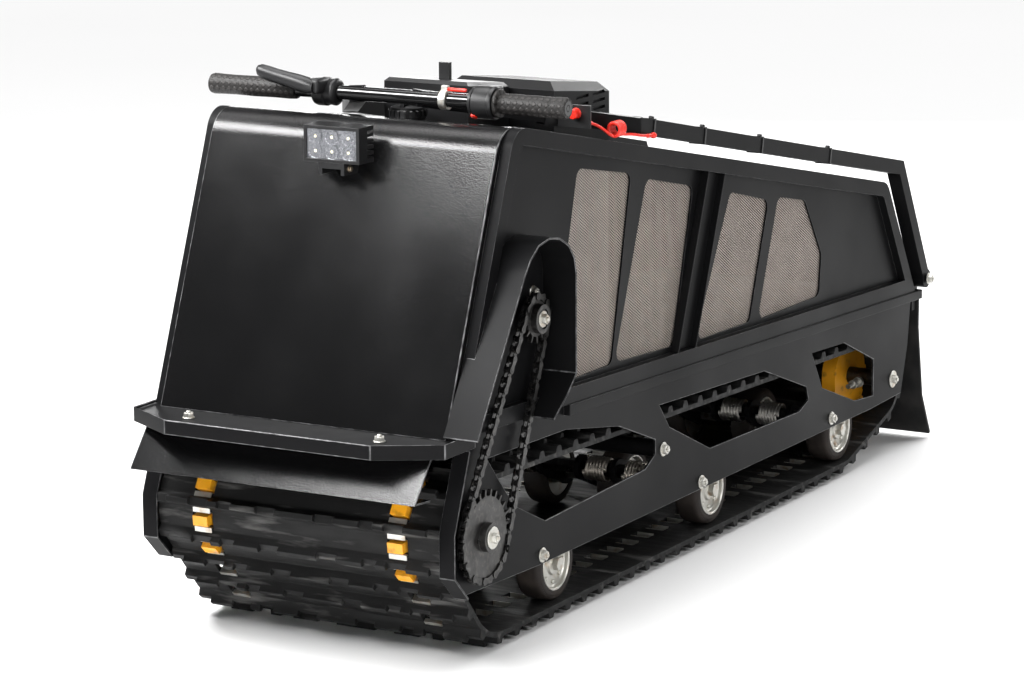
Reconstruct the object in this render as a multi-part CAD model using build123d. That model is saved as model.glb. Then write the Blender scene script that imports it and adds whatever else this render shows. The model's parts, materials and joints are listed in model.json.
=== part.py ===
from build123d import *
import math
import os

os.makedirs("parts", exist_ok=True)

# A tracked snow tug, in millimetres. +X is forward, +Y the vehicle's left, +Z up.
# The origin lies on the ground under the middle of the vehicle.

# Fits
FIT = 0.3
SHEET = 3.0

# Track
TRACK_WIDTH = 500.0
BELT = 8.0
LUG_HEIGHT = 18.0
LUG_FOOT = 16.0
LUG_CROWN = 9.0
LUG_TAPER = 19.0
LUG_COUNT = 66
WINDOW_ROW = 170.0
WINDOW_WIDTH = 34.0
WINDOW_LENGTH = 24.0

# Wheels that carry the track
DRIVE_X = 768.0
DRIVE_Z = 194.0
IDLER_X = -715.0
IDLER_Z = 146.0
LOOP_RADIUS = 70.0
WHEEL_SIDES = 24
SHAFT_RADIUS = 15.0
TOOTH_WIDTH = 26.0
TOOTH_OUT = 8.0
TOOTH_PLAY = 4.0
ROLLER_RADIUS = 58.0
ROLLER_WIDTH = 44.0
ROLLER_TYRE = 15.0
ROLLER_SIDES = 12
HEX_SIDES = 6
ROLLER_X = (489.0, -46.0, -553.0)
ROLLER_Y = (70.0, 216.0)
RIM_WALL = 6.0
RIM_DISH = 9.0
AXLE_RADIUS = 11.0
AXLE_PROUD = 6.0
ARM_REACH = 82.0
ARM_RISE = 34.0
ARM_THICK = 8.0
ARM_WALL = 9.0
ARM_Y = (36.0, 104.0, 182.0)
PIVOT_RADIUS = 12.0
SPRING_RADIUS = 21.0
SPRING_LENGTH = 46.0
SPRING_Y = (70.0, 143.0)
CROSS_TUBE_X = 172.0
CROSS_TUBE_Z = 200.0
CROSS_TUBE_RADIUS = 14.0

# Side plates and sill
PLATE = 4.0
PLATE_GAP = 4.0
PLATE_LOW = 105.0
PLATE_BACK = 30.0
PLATE_HEEL = 586.0
SILL_HEIGHT = 319.8
SILL_SLOPE = 0.0358
SILL_TUBE = 17.0
SILL_FRONT = 501.0
SILL_REAR = -842.0
SILL_INSIDE = 6.0
SILL_PROUD = 3.0
NOSE_X = 853.0
NOSE_LOW = 150.0
NOSE_BEND = 213.0
NOSE_CUT = 38.0
NOSE_OUT = 14.0
NOSE_IN = 8.0

# Body
BODY_WIDTH = 530.0
BODY_FRONT = 825.0
FRONT_LEAN = 0.385
TOP_HEIGHT = 774.9
TOP_X = 623.0
TOP_SLOPE = 0.2039
REAR_X = -815.0
REAR_LEAN = 0.597
RIM = 25.0
RIM_DEPTH = 14.0
BODY_ROUND = 40.0
WINDOW_ROUND = 16.0
HOOD_PROUD = 13.0
HOOD_TOP = 70.0
HOOD_ROUND = 52.0
DECK_FRONT = 120.0
DECK_DROP = 4.0
DECK_SIDE = 48.0
PILLAR_WIDTH = 66.0
PILLAR_FOOT = 121.0
PILLAR_FLANGE = 4.0
MESH = 2.0
MESH_PITCH = 80.0
MESH_STRAND = 10.0
MESH_EDGE = 12.0
MESH_LEAST = 0.3

# Bumper and visor
BUMPER_FRONT = 930.0
BUMPER_BACK = 790.0
BUMPER_CORNER = 876.0
BUMPER_STRAIGHT = 177.0
BUMPER_WIDTH = 540.0
BUMPER_RIM = 5.0
LIP_HEIGHT = 17.0
VISOR_TOP_X = 874.0
VISOR_LOW_X = 923.0
VISOR_DROP = 61.1
VISOR_BACK = 45.0

# Chain drive
CHAIN_PITCH = 15.875
LARGE_TEETH = 26
SMALL_TEETH = 13
CHAIN_Y = 271.0
CHAIN_WIDTH = 12.0
CHAIN_HEIGHT = 13.0
CHAIN_PLATE = 2.0
CHAIN_PIN = 4.6
PIN_SIDES = 4
GULLET = 5.3
TOOTH_TIP = 4.5
TOOTH_LAND = 1.1
SMALL_X = 612.0
SMALL_RISE = 149.3
SPROCKET = 6.0
HUB_RADIUS = 22.0
HUB_LENGTH = 11.0
GUARD_OUT = 308.0
GUARD_BEHIND = 61.0
GUARD_ABOVE = 122.0
GUARD_END = 25.0

# Tiller
PIVOT_X = -855.0
PIVOT_RISE = 18.809
ARM_TUBE = 25.0
ARM_SPREAD = 258.0
BEND_X = -734.0
ARM_GAP = 18.0
NECK_BEHIND = 553.0
BAR_BEHIND = 241.0
BAR_LIFT = 35.0
BAR_HALF = 312.0
BAR_RADIUS = 11.0
JOIN_SHARE = 0.16
GRIP_RADIUS = 16.0
GRIP_LENGTH = 118.0
BRAKE_GAP = 36.0
EYE_RADIUS = 17.0
PIN_RADIUS = 6.0
PIN_PLAY = 0.1
HOUSING_RADIUS = 25.0
HOUSING_LENGTH = 42.0
PERCH_RADIUS = 22.0
PERCH_LENGTH = 39.0
PERCH_ASIDE = 32.0
LEVER_REACH = 28.0
LEVER_THICK = 22.0
LEVER_LENGTH = 84.0
LEVER_RISE = 17.0
LEVER_ROOT = 13.0
LEVER_TIP = 11.0
LEVER_EDGE = 4.0
CLAMP_RADIUS = 16.0
CLAMP_LENGTH = 12.0
CLAMP_ASIDE = 54.0
CLAMP_LEVER = 36.0
SWITCH_BEHIND = 428.0
SWITCH_ASIDE = 50.0
SWITCH_ABOVE = 5.0
SWITCH_RADIUS = 10.0
SWITCH_LENGTH = 24.0
SWITCH_BAND = 22.0
SWITCH_WALL = 4.0
SWITCH_PLATE = 4.0
SWITCH_REACH = 24.0
SWITCH_LOW = 22.0
SWITCH_HIGH = 13.0
BUTTON_RADIUS = 8.5
BUTTON_LENGTH = 13.0

# Lanyard: a lead from the switch, a wound coil on the body's edge and a tail
CORD_RADIUS = 2.5
CORD_SIDES = 8
COIL_BEHIND = 487.0
COIL_INSIDE = 3.0
COIL_LIFT = 20.2
COIL_RADIUS = 13.0
COIL_LENGTH = 16.0
LEAD_ASIDE = 18.0
LEAD_BELOW = 16.0
LEAD_OUT = 12.0
CORD_BEND = 0.45

# Rear
HITCH_REAR = -930.0
HITCH_BORE = 8.0
HITCH_EDGE = 25.0
HITCH_WIDTH = 80.0
HITCH_PLATE = 8.0
TAIL_BEAM = 20.0
TAIL_INSET = 5.0
FLAP = 6.0
FLAP_WIDTH = 524.0
FLAP_LOW = 8.0
FLAP_DROP = 55.0
FLAP_KICK = 22.0
FLAP_KNEE = 78.0
FLAP_SWEEP = 62.0
BRACKET = 6.0
BRACKET_FOOT = 24.0
BRACKET_PLAY = 1.0

# Engine and what stands out of the deck
ENGINE_BEHIND = 175.0
ENGINE_LENGTH = 470.0
ENGINE_RIGHT = -150.0
ENGINE_LEFT = 165.0
ENGINE_DROP = 115.0
COVER_TILT = 0.12
CAP_BEHIND = 285.0
CAP_Y = 12.0
CAP_RADIUS = 30.0
CAP_HEIGHT = 15.0
KNOB_BEHIND = 392.0
KNOB_Y = 15.0
KNOB_LONG = 18.0
KNOB_THICK = 8.0
KNOB_HEIGHT = 20.0
LOUVRE_LENGTH = 40.0
LOUVRE_HEIGHT = 5.0
LOUVRE_DEPTH = 5.0

# Lamp
LAMP_OUT = 56.0
LAMP_DROP = 36.5
LAMP_DEPTH = 42.0
LAMP_WIDTH = 96.0
LAMP_HEIGHT = 54.0
LAMP_FRAME = 5.0
LENS_SET = 6.0
LENS = 3.0
FIN_COUNT = 5
FIN_SLOT = 4.0
FIN_DEPTH = 18.0
LAMP_FOOT = 44.0
LAMP_FOOT_DROP = 18.0
LAMP_FOOT_WALL = 6.0

# Openings of a side plate: rows of corners, each (x, share of the plate's height)
PLATE_OPENINGS = (
    ((735, 0.879), (494, 0.891), (324, 0.778), (199, 0.566), (199, 0.449), (233, 0.364), (560, 0.298),
     (655, 0.493), (700, 0.704)),
    ((185, 0.827), (-200, 0.797), (-367, 0.504), (-376, 0.374), (-340, 0.296), (4, 0.313), (150, 0.625)),
    ((-389, 0.805), (-521, 0.793), (-650, 0.510), (-650, 0.132), (-571, 0.164), (-432, 0.433)),
)
# Lower rear edge of a side plate: (x, rise above the plate's low edge)
PLATE_TAIL = ((-640, 0), (-773, 4), (-800, 87))
# Windows of a side wall: rows of corners, each (x, share of the wall's height)
WALL_WINDOWS = (
    ((444, 0.880), (269, 0.880), (334, 0.094), (530, 0.070)),
    ((218, 0.862), (55, 0.846), (124, 0.097), (325, 0.096)),
    ((-80, 0.830), (-226, 0.797), (-155, 0.112), (46, 0.091)),
    ((-262, 0.819), (-368, 0.809), (-438, 0.448), (-430, 0.163), (-186, 0.111)),
)
# Mesh panels behind the windows: rows of corners, each (x, share of the wall's height)
MESH_PANELS = (
    ((560, 0.853), (40, 0.833), (110, 0.076), (560, 0.043)),
    ((-65, 0.859), (-380, 0.847), (-460, 0.505), (-440, 0.122), (60, 0.059)),
)
# Chain guard's line: foot as (x from its back, z from the sill), crown as (x from its back, z from its top)
GUARD_FOOT = ((70, 0.3), (26, 34), (0, 60))
GUARD_CROWN = ((0, -60), (6, -36), (24, -14), (52, 0), (84, 5), (116, -1), (142, -19), (157, -38))
# Covers on the engine: name, back and front behind the body's front, right, left, top over the body's, bevel
COVERS = (
    ("air_filter_box", 460.0, 335.0, -60.0, 88.0, 41.0, 6.0),
    ("muffler_shield", 645.0, 465.0, -20.0, 165.0, 31.0, 14.0),
    ("fuel_tank", 325.0, 233.0, -140.0, 150.0, -7.0, 10.0),
)
# Slots in the muffler shield's left side: middles behind the body's front, and heights below its top
LOUVRE_BEHIND = (557.0, 611.0)
LOUVRE_DROP = (34.0, 46.0, 58.0)
# Lanyard's lead from the switch to the coil, and its tail, from the coil's middle: (x, y, z)
LEAD_ROUTE = ((32.0, -9.0, 5.0), (24.0, 0.0, 0.0), (COIL_LENGTH / 2, 0.0, 0.0))
TAIL_ROUTE = (
    (-COIL_LENGTH / 2, 0.0, 0.0),
    (-21.0, 0.0, 0.0),
    (-37.0, 6.0, -11.0),
    (-62.0, 14.0, -18.5),
    (-92.0, 18.0, -21.0),
)

track_half = TRACK_WIDTH / 2
plate_in = track_half + PLATE_GAP
plate_out = plate_in + PLATE
body_half = BODY_WIDTH / 2
panel_out = body_half - RIM_DEPTH
inner_half = panel_out - SHEET
belt_low = LUG_HEIGHT
roller_z = belt_low + BELT + ROLLER_RADIUS
engine_front = BODY_FRONT - ENGINE_BEHIND
engine_back = engine_front - ENGINE_LENGTH
engine_top = TOP_HEIGHT - ENGINE_DROP
cap_x = BODY_FRONT - CAP_BEHIND
knob_x = BODY_FRONT - KNOB_BEHIND
neck_x = BODY_FRONT - NECK_BEHIND
bar_x = BODY_FRONT - BAR_BEHIND
bar_join = BAR_HALF * JOIN_SHARE
clamp_y = bar_join + CLAMP_ASIDE
switch_x = BODY_FRONT - SWITCH_BEHIND
coil_x = BODY_FRONT - COIL_BEHIND
coil_y = body_half - COIL_INSIDE
nodes = {}


def sill(x):
    """Height of the sill's top edge."""
    return SILL_HEIGHT + SILL_SLOPE * x


def top(x):
    """Height of the body's top edge."""
    return TOP_HEIGHT + TOP_SLOPE * (x - TOP_X)


small_z = sill(SMALL_X) + SMALL_RISE
pivot_z = sill(PIVOT_X) + PIVOT_RISE
bar_z = top(bar_x) + BAR_LIFT
coil_z = top(coil_x) + COIL_LIFT


def meet_top(x, z, lean, drop=0.0):
    """Place where an edge that leans from (x, z) meets the body's top line, lowered by a drop."""
    rise = TOP_HEIGHT - drop - TOP_SLOPE * TOP_X - z
    return (x + lean * rise) / (1 - lean * TOP_SLOPE)


def on_wall(corners):
    """Corners of (x, share) as (x, z), by the share of the wall from sill to top edge."""
    return [(x, sill(x) + share * (top(x) - sill(x))) for x, share in corners]


def on_plate(corners):
    """Corners of (x, share) as (x, z), by the share of the side plate's height."""
    return [(x, PLATE_LOW + share * (sill(x) - SILL_TUBE - PLATE_LOW)) for x, share in corners]


def slab(outline, low, high):
    """A side outline of (x, z) points, or a ready face, carried across from one y to another."""
    face = outline if isinstance(outline, (Sketch, Face)) else Polygon(*outline, align=None)
    plane = Plane(origin=(0, high, 0), x_dir=(1, 0, 0), z_dir=(0, -1, 0))
    return extrude(plane * face, high - low, dir=(0, -1, 0))


def rod(x, z, radius, low, high):
    """A round bar along y."""
    return slab(Pos(x, z) * Circle(radius), low, high)


def bar(x, z, radius, sides, low, high):
    """A bar along y with a regular section."""
    return slab(Pos(x, z) * RegularPolygon(radius, sides), low, high)


def both(solid):
    """A left piece and its mirror image."""
    return [solid, mirror(solid, about=Plane.XZ)]


def keep(name, *solids):
    """Notes the solids of one node."""
    nodes[name] = list(solids)


def strip(points, thick):
    """A side outline of sheet metal along a line of points, thick to the left of the way of travel."""
    return Polygon(*points, *reversed(beside(points, thick)), align=None)


def beside(points, thick):
    """The points of a line moved sideways by its thickness, with mitred corners."""
    moved = []
    for index, point in enumerate(points):
        ways = []
        if index > 0:
            ways.append((points[index - 1], point))
        if index < len(points) - 1:
            ways.append((point, points[index + 1]))
        normals = []
        for start, end in ways:
            run = math.dist(start, end)
            normals.append((-(end[1] - start[1]) / run, (end[0] - start[0]) / run))
        nx = sum(normal[0] for normal in normals)
        nz = sum(normal[1] for normal in normals)
        scale = thick * len(normals) / (nx * nx + nz * nz)
        moved.append((point[0] + nx * scale, point[1] + nz * scale))
    return moved


def loop_face(circles):
    """The face inside a belt that is tight round circles of (x, z, radius)."""
    edges = [(Pos(x, z) * Circle(radius)).edge() for x, z, radius in circles]
    return make_hull(edges)


def around(x, z, radius, angle):
    """A point on a circle, at an angle in radians."""
    return (x + radius * math.cos(angle), z + radius * math.sin(angle))


# Track: its outer line, and the spots of its lugs and windows along it
track_rests = (
    (DRIVE_X, DRIVE_Z, LOOP_RADIUS),
    (ROLLER_X[0], roller_z, ROLLER_RADIUS),
    (ROLLER_X[2], roller_z, ROLLER_RADIUS),
    (IDLER_X, IDLER_Z, LOOP_RADIUS),
)
track_line = loop_face([(x, z, radius + BELT) for x, z, radius in track_rests]).wires()[0]
lug_shares = [index / LUG_COUNT for index in range(LUG_COUNT)]
window_shares = [(index + 0.5) / LUG_COUNT for index in range(LUG_COUNT)]
lug_angle = track_line.length / LUG_COUNT / (LOOP_RADIUS + BELT)
wheel_radius = LOOP_RADIUS * math.cos(lug_angle / 2) - FIT


def on_drum(shares, x, z):
    """Angles, about a wheel's middle, of the spots that lie on its wrap."""
    spots = [track_line.position_at(share) for share in shares]
    wrap = LOOP_RADIUS + BELT + FIT / 10
    return [math.atan2(p.Y - z, p.X - x) for p in spots if math.dist((p.X, p.Y), (x, z)) < wrap]


def belt_corners():
    """Corners of the belt's outer and inner line: straight from lug to lug round the end wheels."""
    corners = []
    for edge in track_line.edges().filter_by(GeomType.CIRCLE):
        middle = edge.arc_center
        spots = [edge @ 0, edge @ 1]
        if abs(edge.radius - LOOP_RADIUS - BELT) > FIT:
            spots.append(edge @ 0.5)
        angles = [math.atan2(p.Y - middle.Y, p.X - middle.X) for p in spots]
        if len(spots) == 2:
            angles += on_drum(lug_shares, middle.X, middle.Y)
        for angle in angles:
            outer = around(middle.X, middle.Y, edge.radius, angle)
            inner = around(middle.X, middle.Y, edge.radius - BELT, angle)
            corners.append((outer, inner))
    centre = ((DRIVE_X + IDLER_X) / 2, (DRIVE_Z + roller_z) / 2)
    corners.sort(key=lambda pair: math.atan2(pair[0][1] - centre[1], pair[0][0] - centre[0]))
    apart = [pair for index, pair in enumerate(corners) if math.dist(pair[0], corners[index - 1][0]) > SHEET]
    return [pair[0] for pair in apart], [pair[1] for pair in apart]


def make_track():
    """The belt with its lugs and drive windows, as one loop."""
    outer, inner = belt_corners()
    face = Polygon(*outer, align=None) - Polygon(*inner, align=None)
    belt = slab(face, -track_half, track_half)
    middle = Vector((DRIVE_X + IDLER_X) / 2, (DRIVE_Z + roller_z) / 2)
    lugs = []
    for share in lug_shares:
        place = track_line.position_at(share)
        way = track_line.tangent_at(share)
        out = Vector(way.Y, -way.X)
        if out.dot(place - middle) < 0:
            out = out * -1
        lugs.append(make_lug(place, way, out))
    windows = []
    for share in window_shares:
        windows += make_window(track_line.position_at(share), track_line.tangent_at(share))
    return belt + lugs - windows


def make_lug(place, way, out):
    """One cross lug, standing on the belt's outer face."""
    origin = Vector(place.X, 0, place.Y)
    up = Vector(out.X, 0, out.Y)
    along = Vector(way.X, 0, way.Y)
    base = Plane(origin=origin - up * (BELT / 2), x_dir=along, z_dir=up)
    head = Plane(origin=origin + up * LUG_HEIGHT, x_dir=along, z_dir=up)
    foot = base * Rectangle(LUG_FOOT, TRACK_WIDTH)
    tip = head * Rectangle(LUG_CROWN, TRACK_WIDTH - 2 * LUG_TAPER)
    return loft([foot, tip])


def make_window(place, way):
    """The two drive windows between one lug and the next."""
    turn = math.degrees(math.atan2(way.Y, way.X))
    block = Box(WINDOW_LENGTH, WINDOW_WIDTH, 4 * BELT)
    return [Pos(place.X, row, place.Y) * Rot(0, -turn, 0) * block for row in (-WINDOW_ROW, WINDOW_ROW)]


keep("track", make_track())


def make_drive_wheel(x, z, row):
    """A wheel whose teeth stand in the track's windows."""
    low = row - TOOTH_WIDTH / 2
    high = row + TOOTH_WIDTH / 2
    wheel = bar(x, z, wheel_radius, WHEEL_SIDES, low, high)
    root = wheel_radius - BELT
    tip = LOOP_RADIUS + BELT + TOOTH_OUT
    tooth = Box(tip - root, TOOTH_WIDTH, WINDOW_LENGTH - 2 * TOOTH_PLAY)
    for angle in on_drum(window_shares, x, z):
        wheel = wheel + Pos(x, row, z) * Rot(0, -math.degrees(angle), 0) * Pos((tip + root) / 2, 0, 0) * tooth
    return wheel - rod(x, z, SHAFT_RADIUS + FIT, low, high)


for name, x, z in (("drive_sprockets", DRIVE_X, DRIVE_Z), ("idler_wheels", IDLER_X, IDLER_Z)):
    keep(name, *[make_drive_wheel(x, z, row) for row in (-WINDOW_ROW, WINDOW_ROW)])

shaft_end = CHAIN_Y + CHAIN_WIDTH
keep("drive_shaft", rod(DRIVE_X, DRIVE_Z, SHAFT_RADIUS, -plate_in, shaft_end))
keep("idler_shaft", rod(IDLER_X, IDLER_Z, SHAFT_RADIUS, -plate_in, plate_in))
keep("cross_tube", rod(CROSS_TUBE_X, CROSS_TUBE_Z, CROSS_TUBE_RADIUS, -plate_in, plate_in))


# Rollers on their hexagon axles
def make_tyre(x, y):
    """A roller's rubber tyre."""
    low = y - ROLLER_WIDTH / 2
    high = y + ROLLER_WIDTH / 2
    tyre = bar(x, roller_z, ROLLER_RADIUS - FIT, ROLLER_SIDES, low, high)
    return tyre - bar(x, roller_z, ROLLER_RADIUS - ROLLER_TYRE, ROLLER_SIDES, low, high)


def make_rim(x, y):
    """A roller's pressed rim, dished on the side that looks outwards."""
    low = y - ROLLER_WIDTH / 2
    high = y + ROLLER_WIDTH / 2
    outer = ROLLER_RADIUS - ROLLER_TYRE - FIT
    rim = bar(x, roller_z, outer, ROLLER_SIDES, low, high)
    dish = (high - RIM_DISH, high) if y > 0 else (low, low + RIM_DISH)
    rim = rim - bar(x, roller_z, outer - RIM_WALL, ROLLER_SIDES, *dish)
    return rim - bar(x, roller_z, AXLE_RADIUS + FIT, HEX_SIDES, low, high)


roller_rows = [side * y for y in ROLLER_Y for side in (-1, 1)]
keep("roller_tyres", *[make_tyre(x, y) for x in ROLLER_X for y in roller_rows])
keep("roller_rims", *[make_rim(x, y) for x in ROLLER_X for y in roller_rows])
axle_half = ROLLER_Y[1] + ROLLER_WIDTH / 2 + AXLE_PROUD
keep("roller_axles", *[bar(x, roller_z, AXLE_RADIUS, HEX_SIDES, -axle_half, axle_half) for x in ROLLER_X])

pivots = [(x + ARM_REACH, roller_z + ARM_RISE) for x in ROLLER_X]
keep("pivot_shafts", *[bar(x, z, PIVOT_RADIUS, HEX_SIDES, -plate_in, plate_in) for x, z in pivots])


def make_arm(x, y):
    """A flat trailing arm from a pivot shaft to a roller axle."""
    low = y - ARM_THICK / 2
    high = y + ARM_THICK / 2
    pivot = (x + ARM_REACH, roller_z + ARM_RISE)
    line = ((x, roller_z), pivot)
    half = PIVOT_RADIUS + ARM_WALL
    face = Polygon(*beside(line, half), *reversed(beside(line, -half)), align=None)
    arm = slab(face, low, high)
    for place, radius in ((line[0], AXLE_RADIUS), (pivot, PIVOT_RADIUS)):
        arm = arm + bar(*place, half, ROLLER_SIDES, low, high)
        arm = arm - bar(*place, radius + FIT, HEX_SIDES, low, high)
    return arm


arm_rows = [side * y for y in ARM_Y for side in (-1, 1)]
keep("trailing_arms", *[make_arm(x, y) for x in ROLLER_X for y in arm_rows])


def make_spring(x, z, y):
    """A torsion spring, close wound round its pivot shaft."""
    low = y - SPRING_LENGTH / 2
    high = y + SPRING_LENGTH / 2
    sleeve = bar(x, z, SPRING_RADIUS, ROLLER_SIDES, low, high)
    return sleeve - bar(x, z, PIVOT_RADIUS + FIT, HEX_SIDES, low, high)


spring_rows = [side * y for y in SPRING_Y for side in (-1, 1)]
keep("torsion_springs", *[make_spring(x, z, y) for x, z in pivots for y in spring_rows])

# Side plates, nose guards and sills
lip_top = sill(BUMPER_BACK)
lip_low = lip_top - LIP_HEIGHT


def nose(z):
    """Front edge of the side plate's nose above its bend."""
    return NOSE_X - FRONT_LEAN * (z - NOSE_BEND)


def make_side_plate(chain_side):
    """A side plate with its three cut openings, from the nose to the tail."""
    plate_rear = SILL_REAR + PLATE_BACK
    outline = (
        (plate_rear, sill(plate_rear) - SILL_TUBE),
        (SILL_FRONT, sill(SILL_FRONT) - SILL_TUBE),
        (SILL_FRONT, sill(SILL_FRONT)),
        (BUMPER_BACK, lip_top),
        (BUMPER_BACK, lip_low),
        (nose(lip_low), lip_low),
        (NOSE_X, NOSE_BEND),
        (NOSE_X, NOSE_LOW),
        (NOSE_X - NOSE_CUT, NOSE_LOW - NOSE_CUT),
        (PLATE_HEEL, PLATE_LOW),
        *[(x, PLATE_LOW + rise) for x, rise in PLATE_TAIL],
    )
    plate = slab(outline, plate_in, plate_out)
    for opening in PLATE_OPENINGS:
        plate = plate - slab(on_plate(opening), plate_in - PLATE, plate_out + PLATE)
    if chain_side:
        plate = plate - rod(DRIVE_X, DRIVE_Z, SHAFT_RADIUS + FIT, plate_in - PLATE, plate_out + PLATE)
    return plate


keep("side_plate_left", make_side_plate(True))
keep("side_plate_right", mirror(make_side_plate(False), about=Plane.XZ))

nose_top = lip_low - SHEET / 2
nose_line = (
    (nose(nose_top), nose_top),
    (NOSE_X, NOSE_BEND),
    (NOSE_X, NOSE_LOW),
    (NOSE_X - NOSE_CUT, NOSE_LOW - NOSE_CUT),
)
keep("nose_guards", *both(slab(strip(nose_line, SHEET), plate_in - NOSE_IN, plate_out + NOSE_OUT)))

sill_in = plate_in - SILL_INSIDE
sill_out = body_half + SILL_PROUD
sill_line = ((SILL_FRONT, sill(SILL_FRONT)), (SILL_REAR, sill(SILL_REAR)))
sill_face = (*sill_line, *[(x, z - SILL_TUBE) for x, z in reversed(sill_line)])
keep("sill_rails", *both(slab(sill_face, sill_in, sill_out)))

# Side walls, with a raised rim round a recessed panel
tail_x = meet_top(REAR_X, sill(REAR_X), REAR_LEAN)
peak_x = meet_top(BODY_FRONT, sill(BODY_FRONT), -FRONT_LEAN)


def rounded_at(face, spots, radius):
    """A face with the corners at these spots rounded."""
    corners = [v for v in face.vertices() if min(math.dist((v.X, v.Y), spot) for spot in spots) < FIT]
    return fillet(corners, radius)


wall_peak = (peak_x, top(peak_x))
wall_tail = (tail_x, top(tail_x))
wall_foot = ((REAR_X, sill(REAR_X)), (BODY_FRONT, sill(BODY_FRONT)))
wall_face = Polygon(*wall_foot, wall_peak, wall_tail, align=None)
wall_face = rounded_at(wall_face, (wall_peak, wall_tail), BODY_ROUND)
recess_face = offset(wall_face, -RIM, kind=Kind.INTERSECTION)


def make_wall():
    """A side wall with its recess and four rounded windows."""
    wall = slab(wall_face, inner_half, body_half) - slab(recess_face, panel_out, body_half)
    for window in WALL_WINDOWS:
        corners = Polygon(*on_wall(window), align=None)
        wall = wall - slab(fillet(corners.vertices(), WINDOW_ROUND), inner_half, panel_out)
    return wall


wall = make_wall()
shaft_hole = rod(SMALL_X, small_z, SHAFT_RADIUS + FIT, inner_half, body_half)
left_wall = wall - shaft_hole
keep("body_side_left", left_wall)
keep("body_side_right", mirror(wall, about=Plane.XZ))


def make_mesh(corners):
    """A mesh panel as a plain grid of openings."""
    panel = Polygon(*on_wall(corners), align=None)
    field = offset(panel, -MESH_EDGE, kind=Kind.INTERSECTION)
    box = field.bounding_box()
    across = round(box.size.X / MESH_PITCH)
    upward = round(box.size.Y / MESH_PITCH)
    step_x = box.size.X / across
    step_z = box.size.Y / upward
    cell = Rectangle(step_x - MESH_STRAND, step_z - MESH_STRAND)
    for column in range(across):
        for row in range(upward):
            place = Pos(box.min.X + (column + 0.5) * step_x, box.min.Y + (row + 0.5) * step_z)
            hole = (place * cell) & field
            if hole and hole.area > MESH_LEAST * cell.area:
                panel = panel - hole
    return slab(panel, inner_half - MESH, inner_half)


for name, turned in (("mesh_left", False), ("mesh_right", True)):
    panels = [make_mesh(corners) for corners in MESH_PANELS]
    keep(name, *[mirror(panel, about=Plane.XZ) if turned else panel for panel in panels])


def leaning(x, width):
    """A band that leans back like the hood, from below the sill to above the top edge."""
    low = sill(x) - RIM
    high = top(x) + RIM
    shift = FRONT_LEAN * (high - low)
    half = width / 2
    foot = ((x - half, low), (x + half, low))
    head = ((x + half - shift, high), (x - half - shift, high))
    return Polygon(*foot, *head, align=None)


pillar = slab(leaning(PILLAR_FOOT, PILLAR_WIDTH) & recess_face, panel_out, panel_out + SHEET)
for side in (-1, 1):
    edge_band = leaning(PILLAR_FOOT + side * (PILLAR_WIDTH - PILLAR_FLANGE) / 2, PILLAR_FLANGE)
    pillar = pillar + slab(edge_band & recess_face, panel_out, body_half)
keep("pillars", *both(pillar))

# Hood, deck, rear wall and floor
hood_peak = meet_top(BODY_FRONT + HOOD_PROUD, lip_top, -FRONT_LEAN)
hood_back = hood_peak - HOOD_TOP


def hood_block(inset):
    """Side outline of all that lies under the hood, moved in from its outer face."""
    low_x = BODY_FRONT + HOOD_PROUD - inset
    peak = meet_top(low_x, lip_top, -FRONT_LEAN, inset)
    crown = (peak, top(peak) - inset)
    back = ((hood_back, top(hood_back) - inset), (hood_back, lip_top))
    face = Polygon((low_x, lip_top), crown, *back, align=None)
    return rounded_at(face, (crown,), HOOD_ROUND - inset)


hood = slab(hood_block(0), -inner_half, inner_half)
hood = hood - slab(hood_block(SHEET), SHEET - inner_half, inner_half - SHEET)
hood = hood - slab(hood_block(HOOD_PROUD), -inner_half, inner_half)
keep("hood_front", hood)


def deck_strip(back, ahead, low, high):
    """A strip of deck sheet just under the top edge."""
    line = ((ahead, top(ahead) - DECK_DROP), (back, top(back) - DECK_DROP))
    return slab((*line, *[(x, z - SHEET) for x, z in reversed(line)]), low, high)


deck_back = tail_x + BODY_ROUND / 2
keep("deck_rear", deck_strip(deck_back + SHEET, DECK_FRONT, -inner_half, inner_half))
keep("deck_rails", *both(deck_strip(DECK_FRONT, hood_back, inner_half - DECK_SIDE, inner_half)))

rear_bend = top(tail_x) - BODY_ROUND
rear_line = (
    (deck_back, top(deck_back) - DECK_DROP),
    (REAR_X + REAR_LEAN * (rear_bend - sill(REAR_X)), rear_bend),
    (REAR_X, sill(REAR_X)),
)
keep("rear_wall", slab(strip(rear_line, SHEET), -inner_half, inner_half))

floor_back = REAR_X + 3 * SHEET
floor_line = ((floor_back, sill(floor_back) - SHEET), (BUMPER_BACK, lip_top - SHEET))
keep("floor_pan", slab(strip(floor_line, SHEET), -inner_half, inner_half))


# Bumper and visor
def bumper_outline(inset):
    """The bumper's plan: a straight front with cut corners."""
    half = BUMPER_WIDTH / 2 - inset
    points = ((BUMPER_FRONT - inset, BUMPER_STRAIGHT), (BUMPER_CORNER, half), (BUMPER_BACK, half))
    return Polygon(*points, *[(x, -y) for x, y in reversed(points)], align=None)


def make_bumper():
    """A folded tray with a raised rim on top and a skirt below."""
    body = extrude(Pos(0, 0, lip_low) * bumper_outline(0), LIP_HEIGHT + BUMPER_RIM)
    tray = extrude(Pos(0, 0, lip_top) * bumper_outline(SHEET), LIP_HEIGHT)
    under = extrude(Pos(0, 0, lip_low - SHEET) * bumper_outline(SHEET), LIP_HEIGHT)
    return body - tray - under


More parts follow.
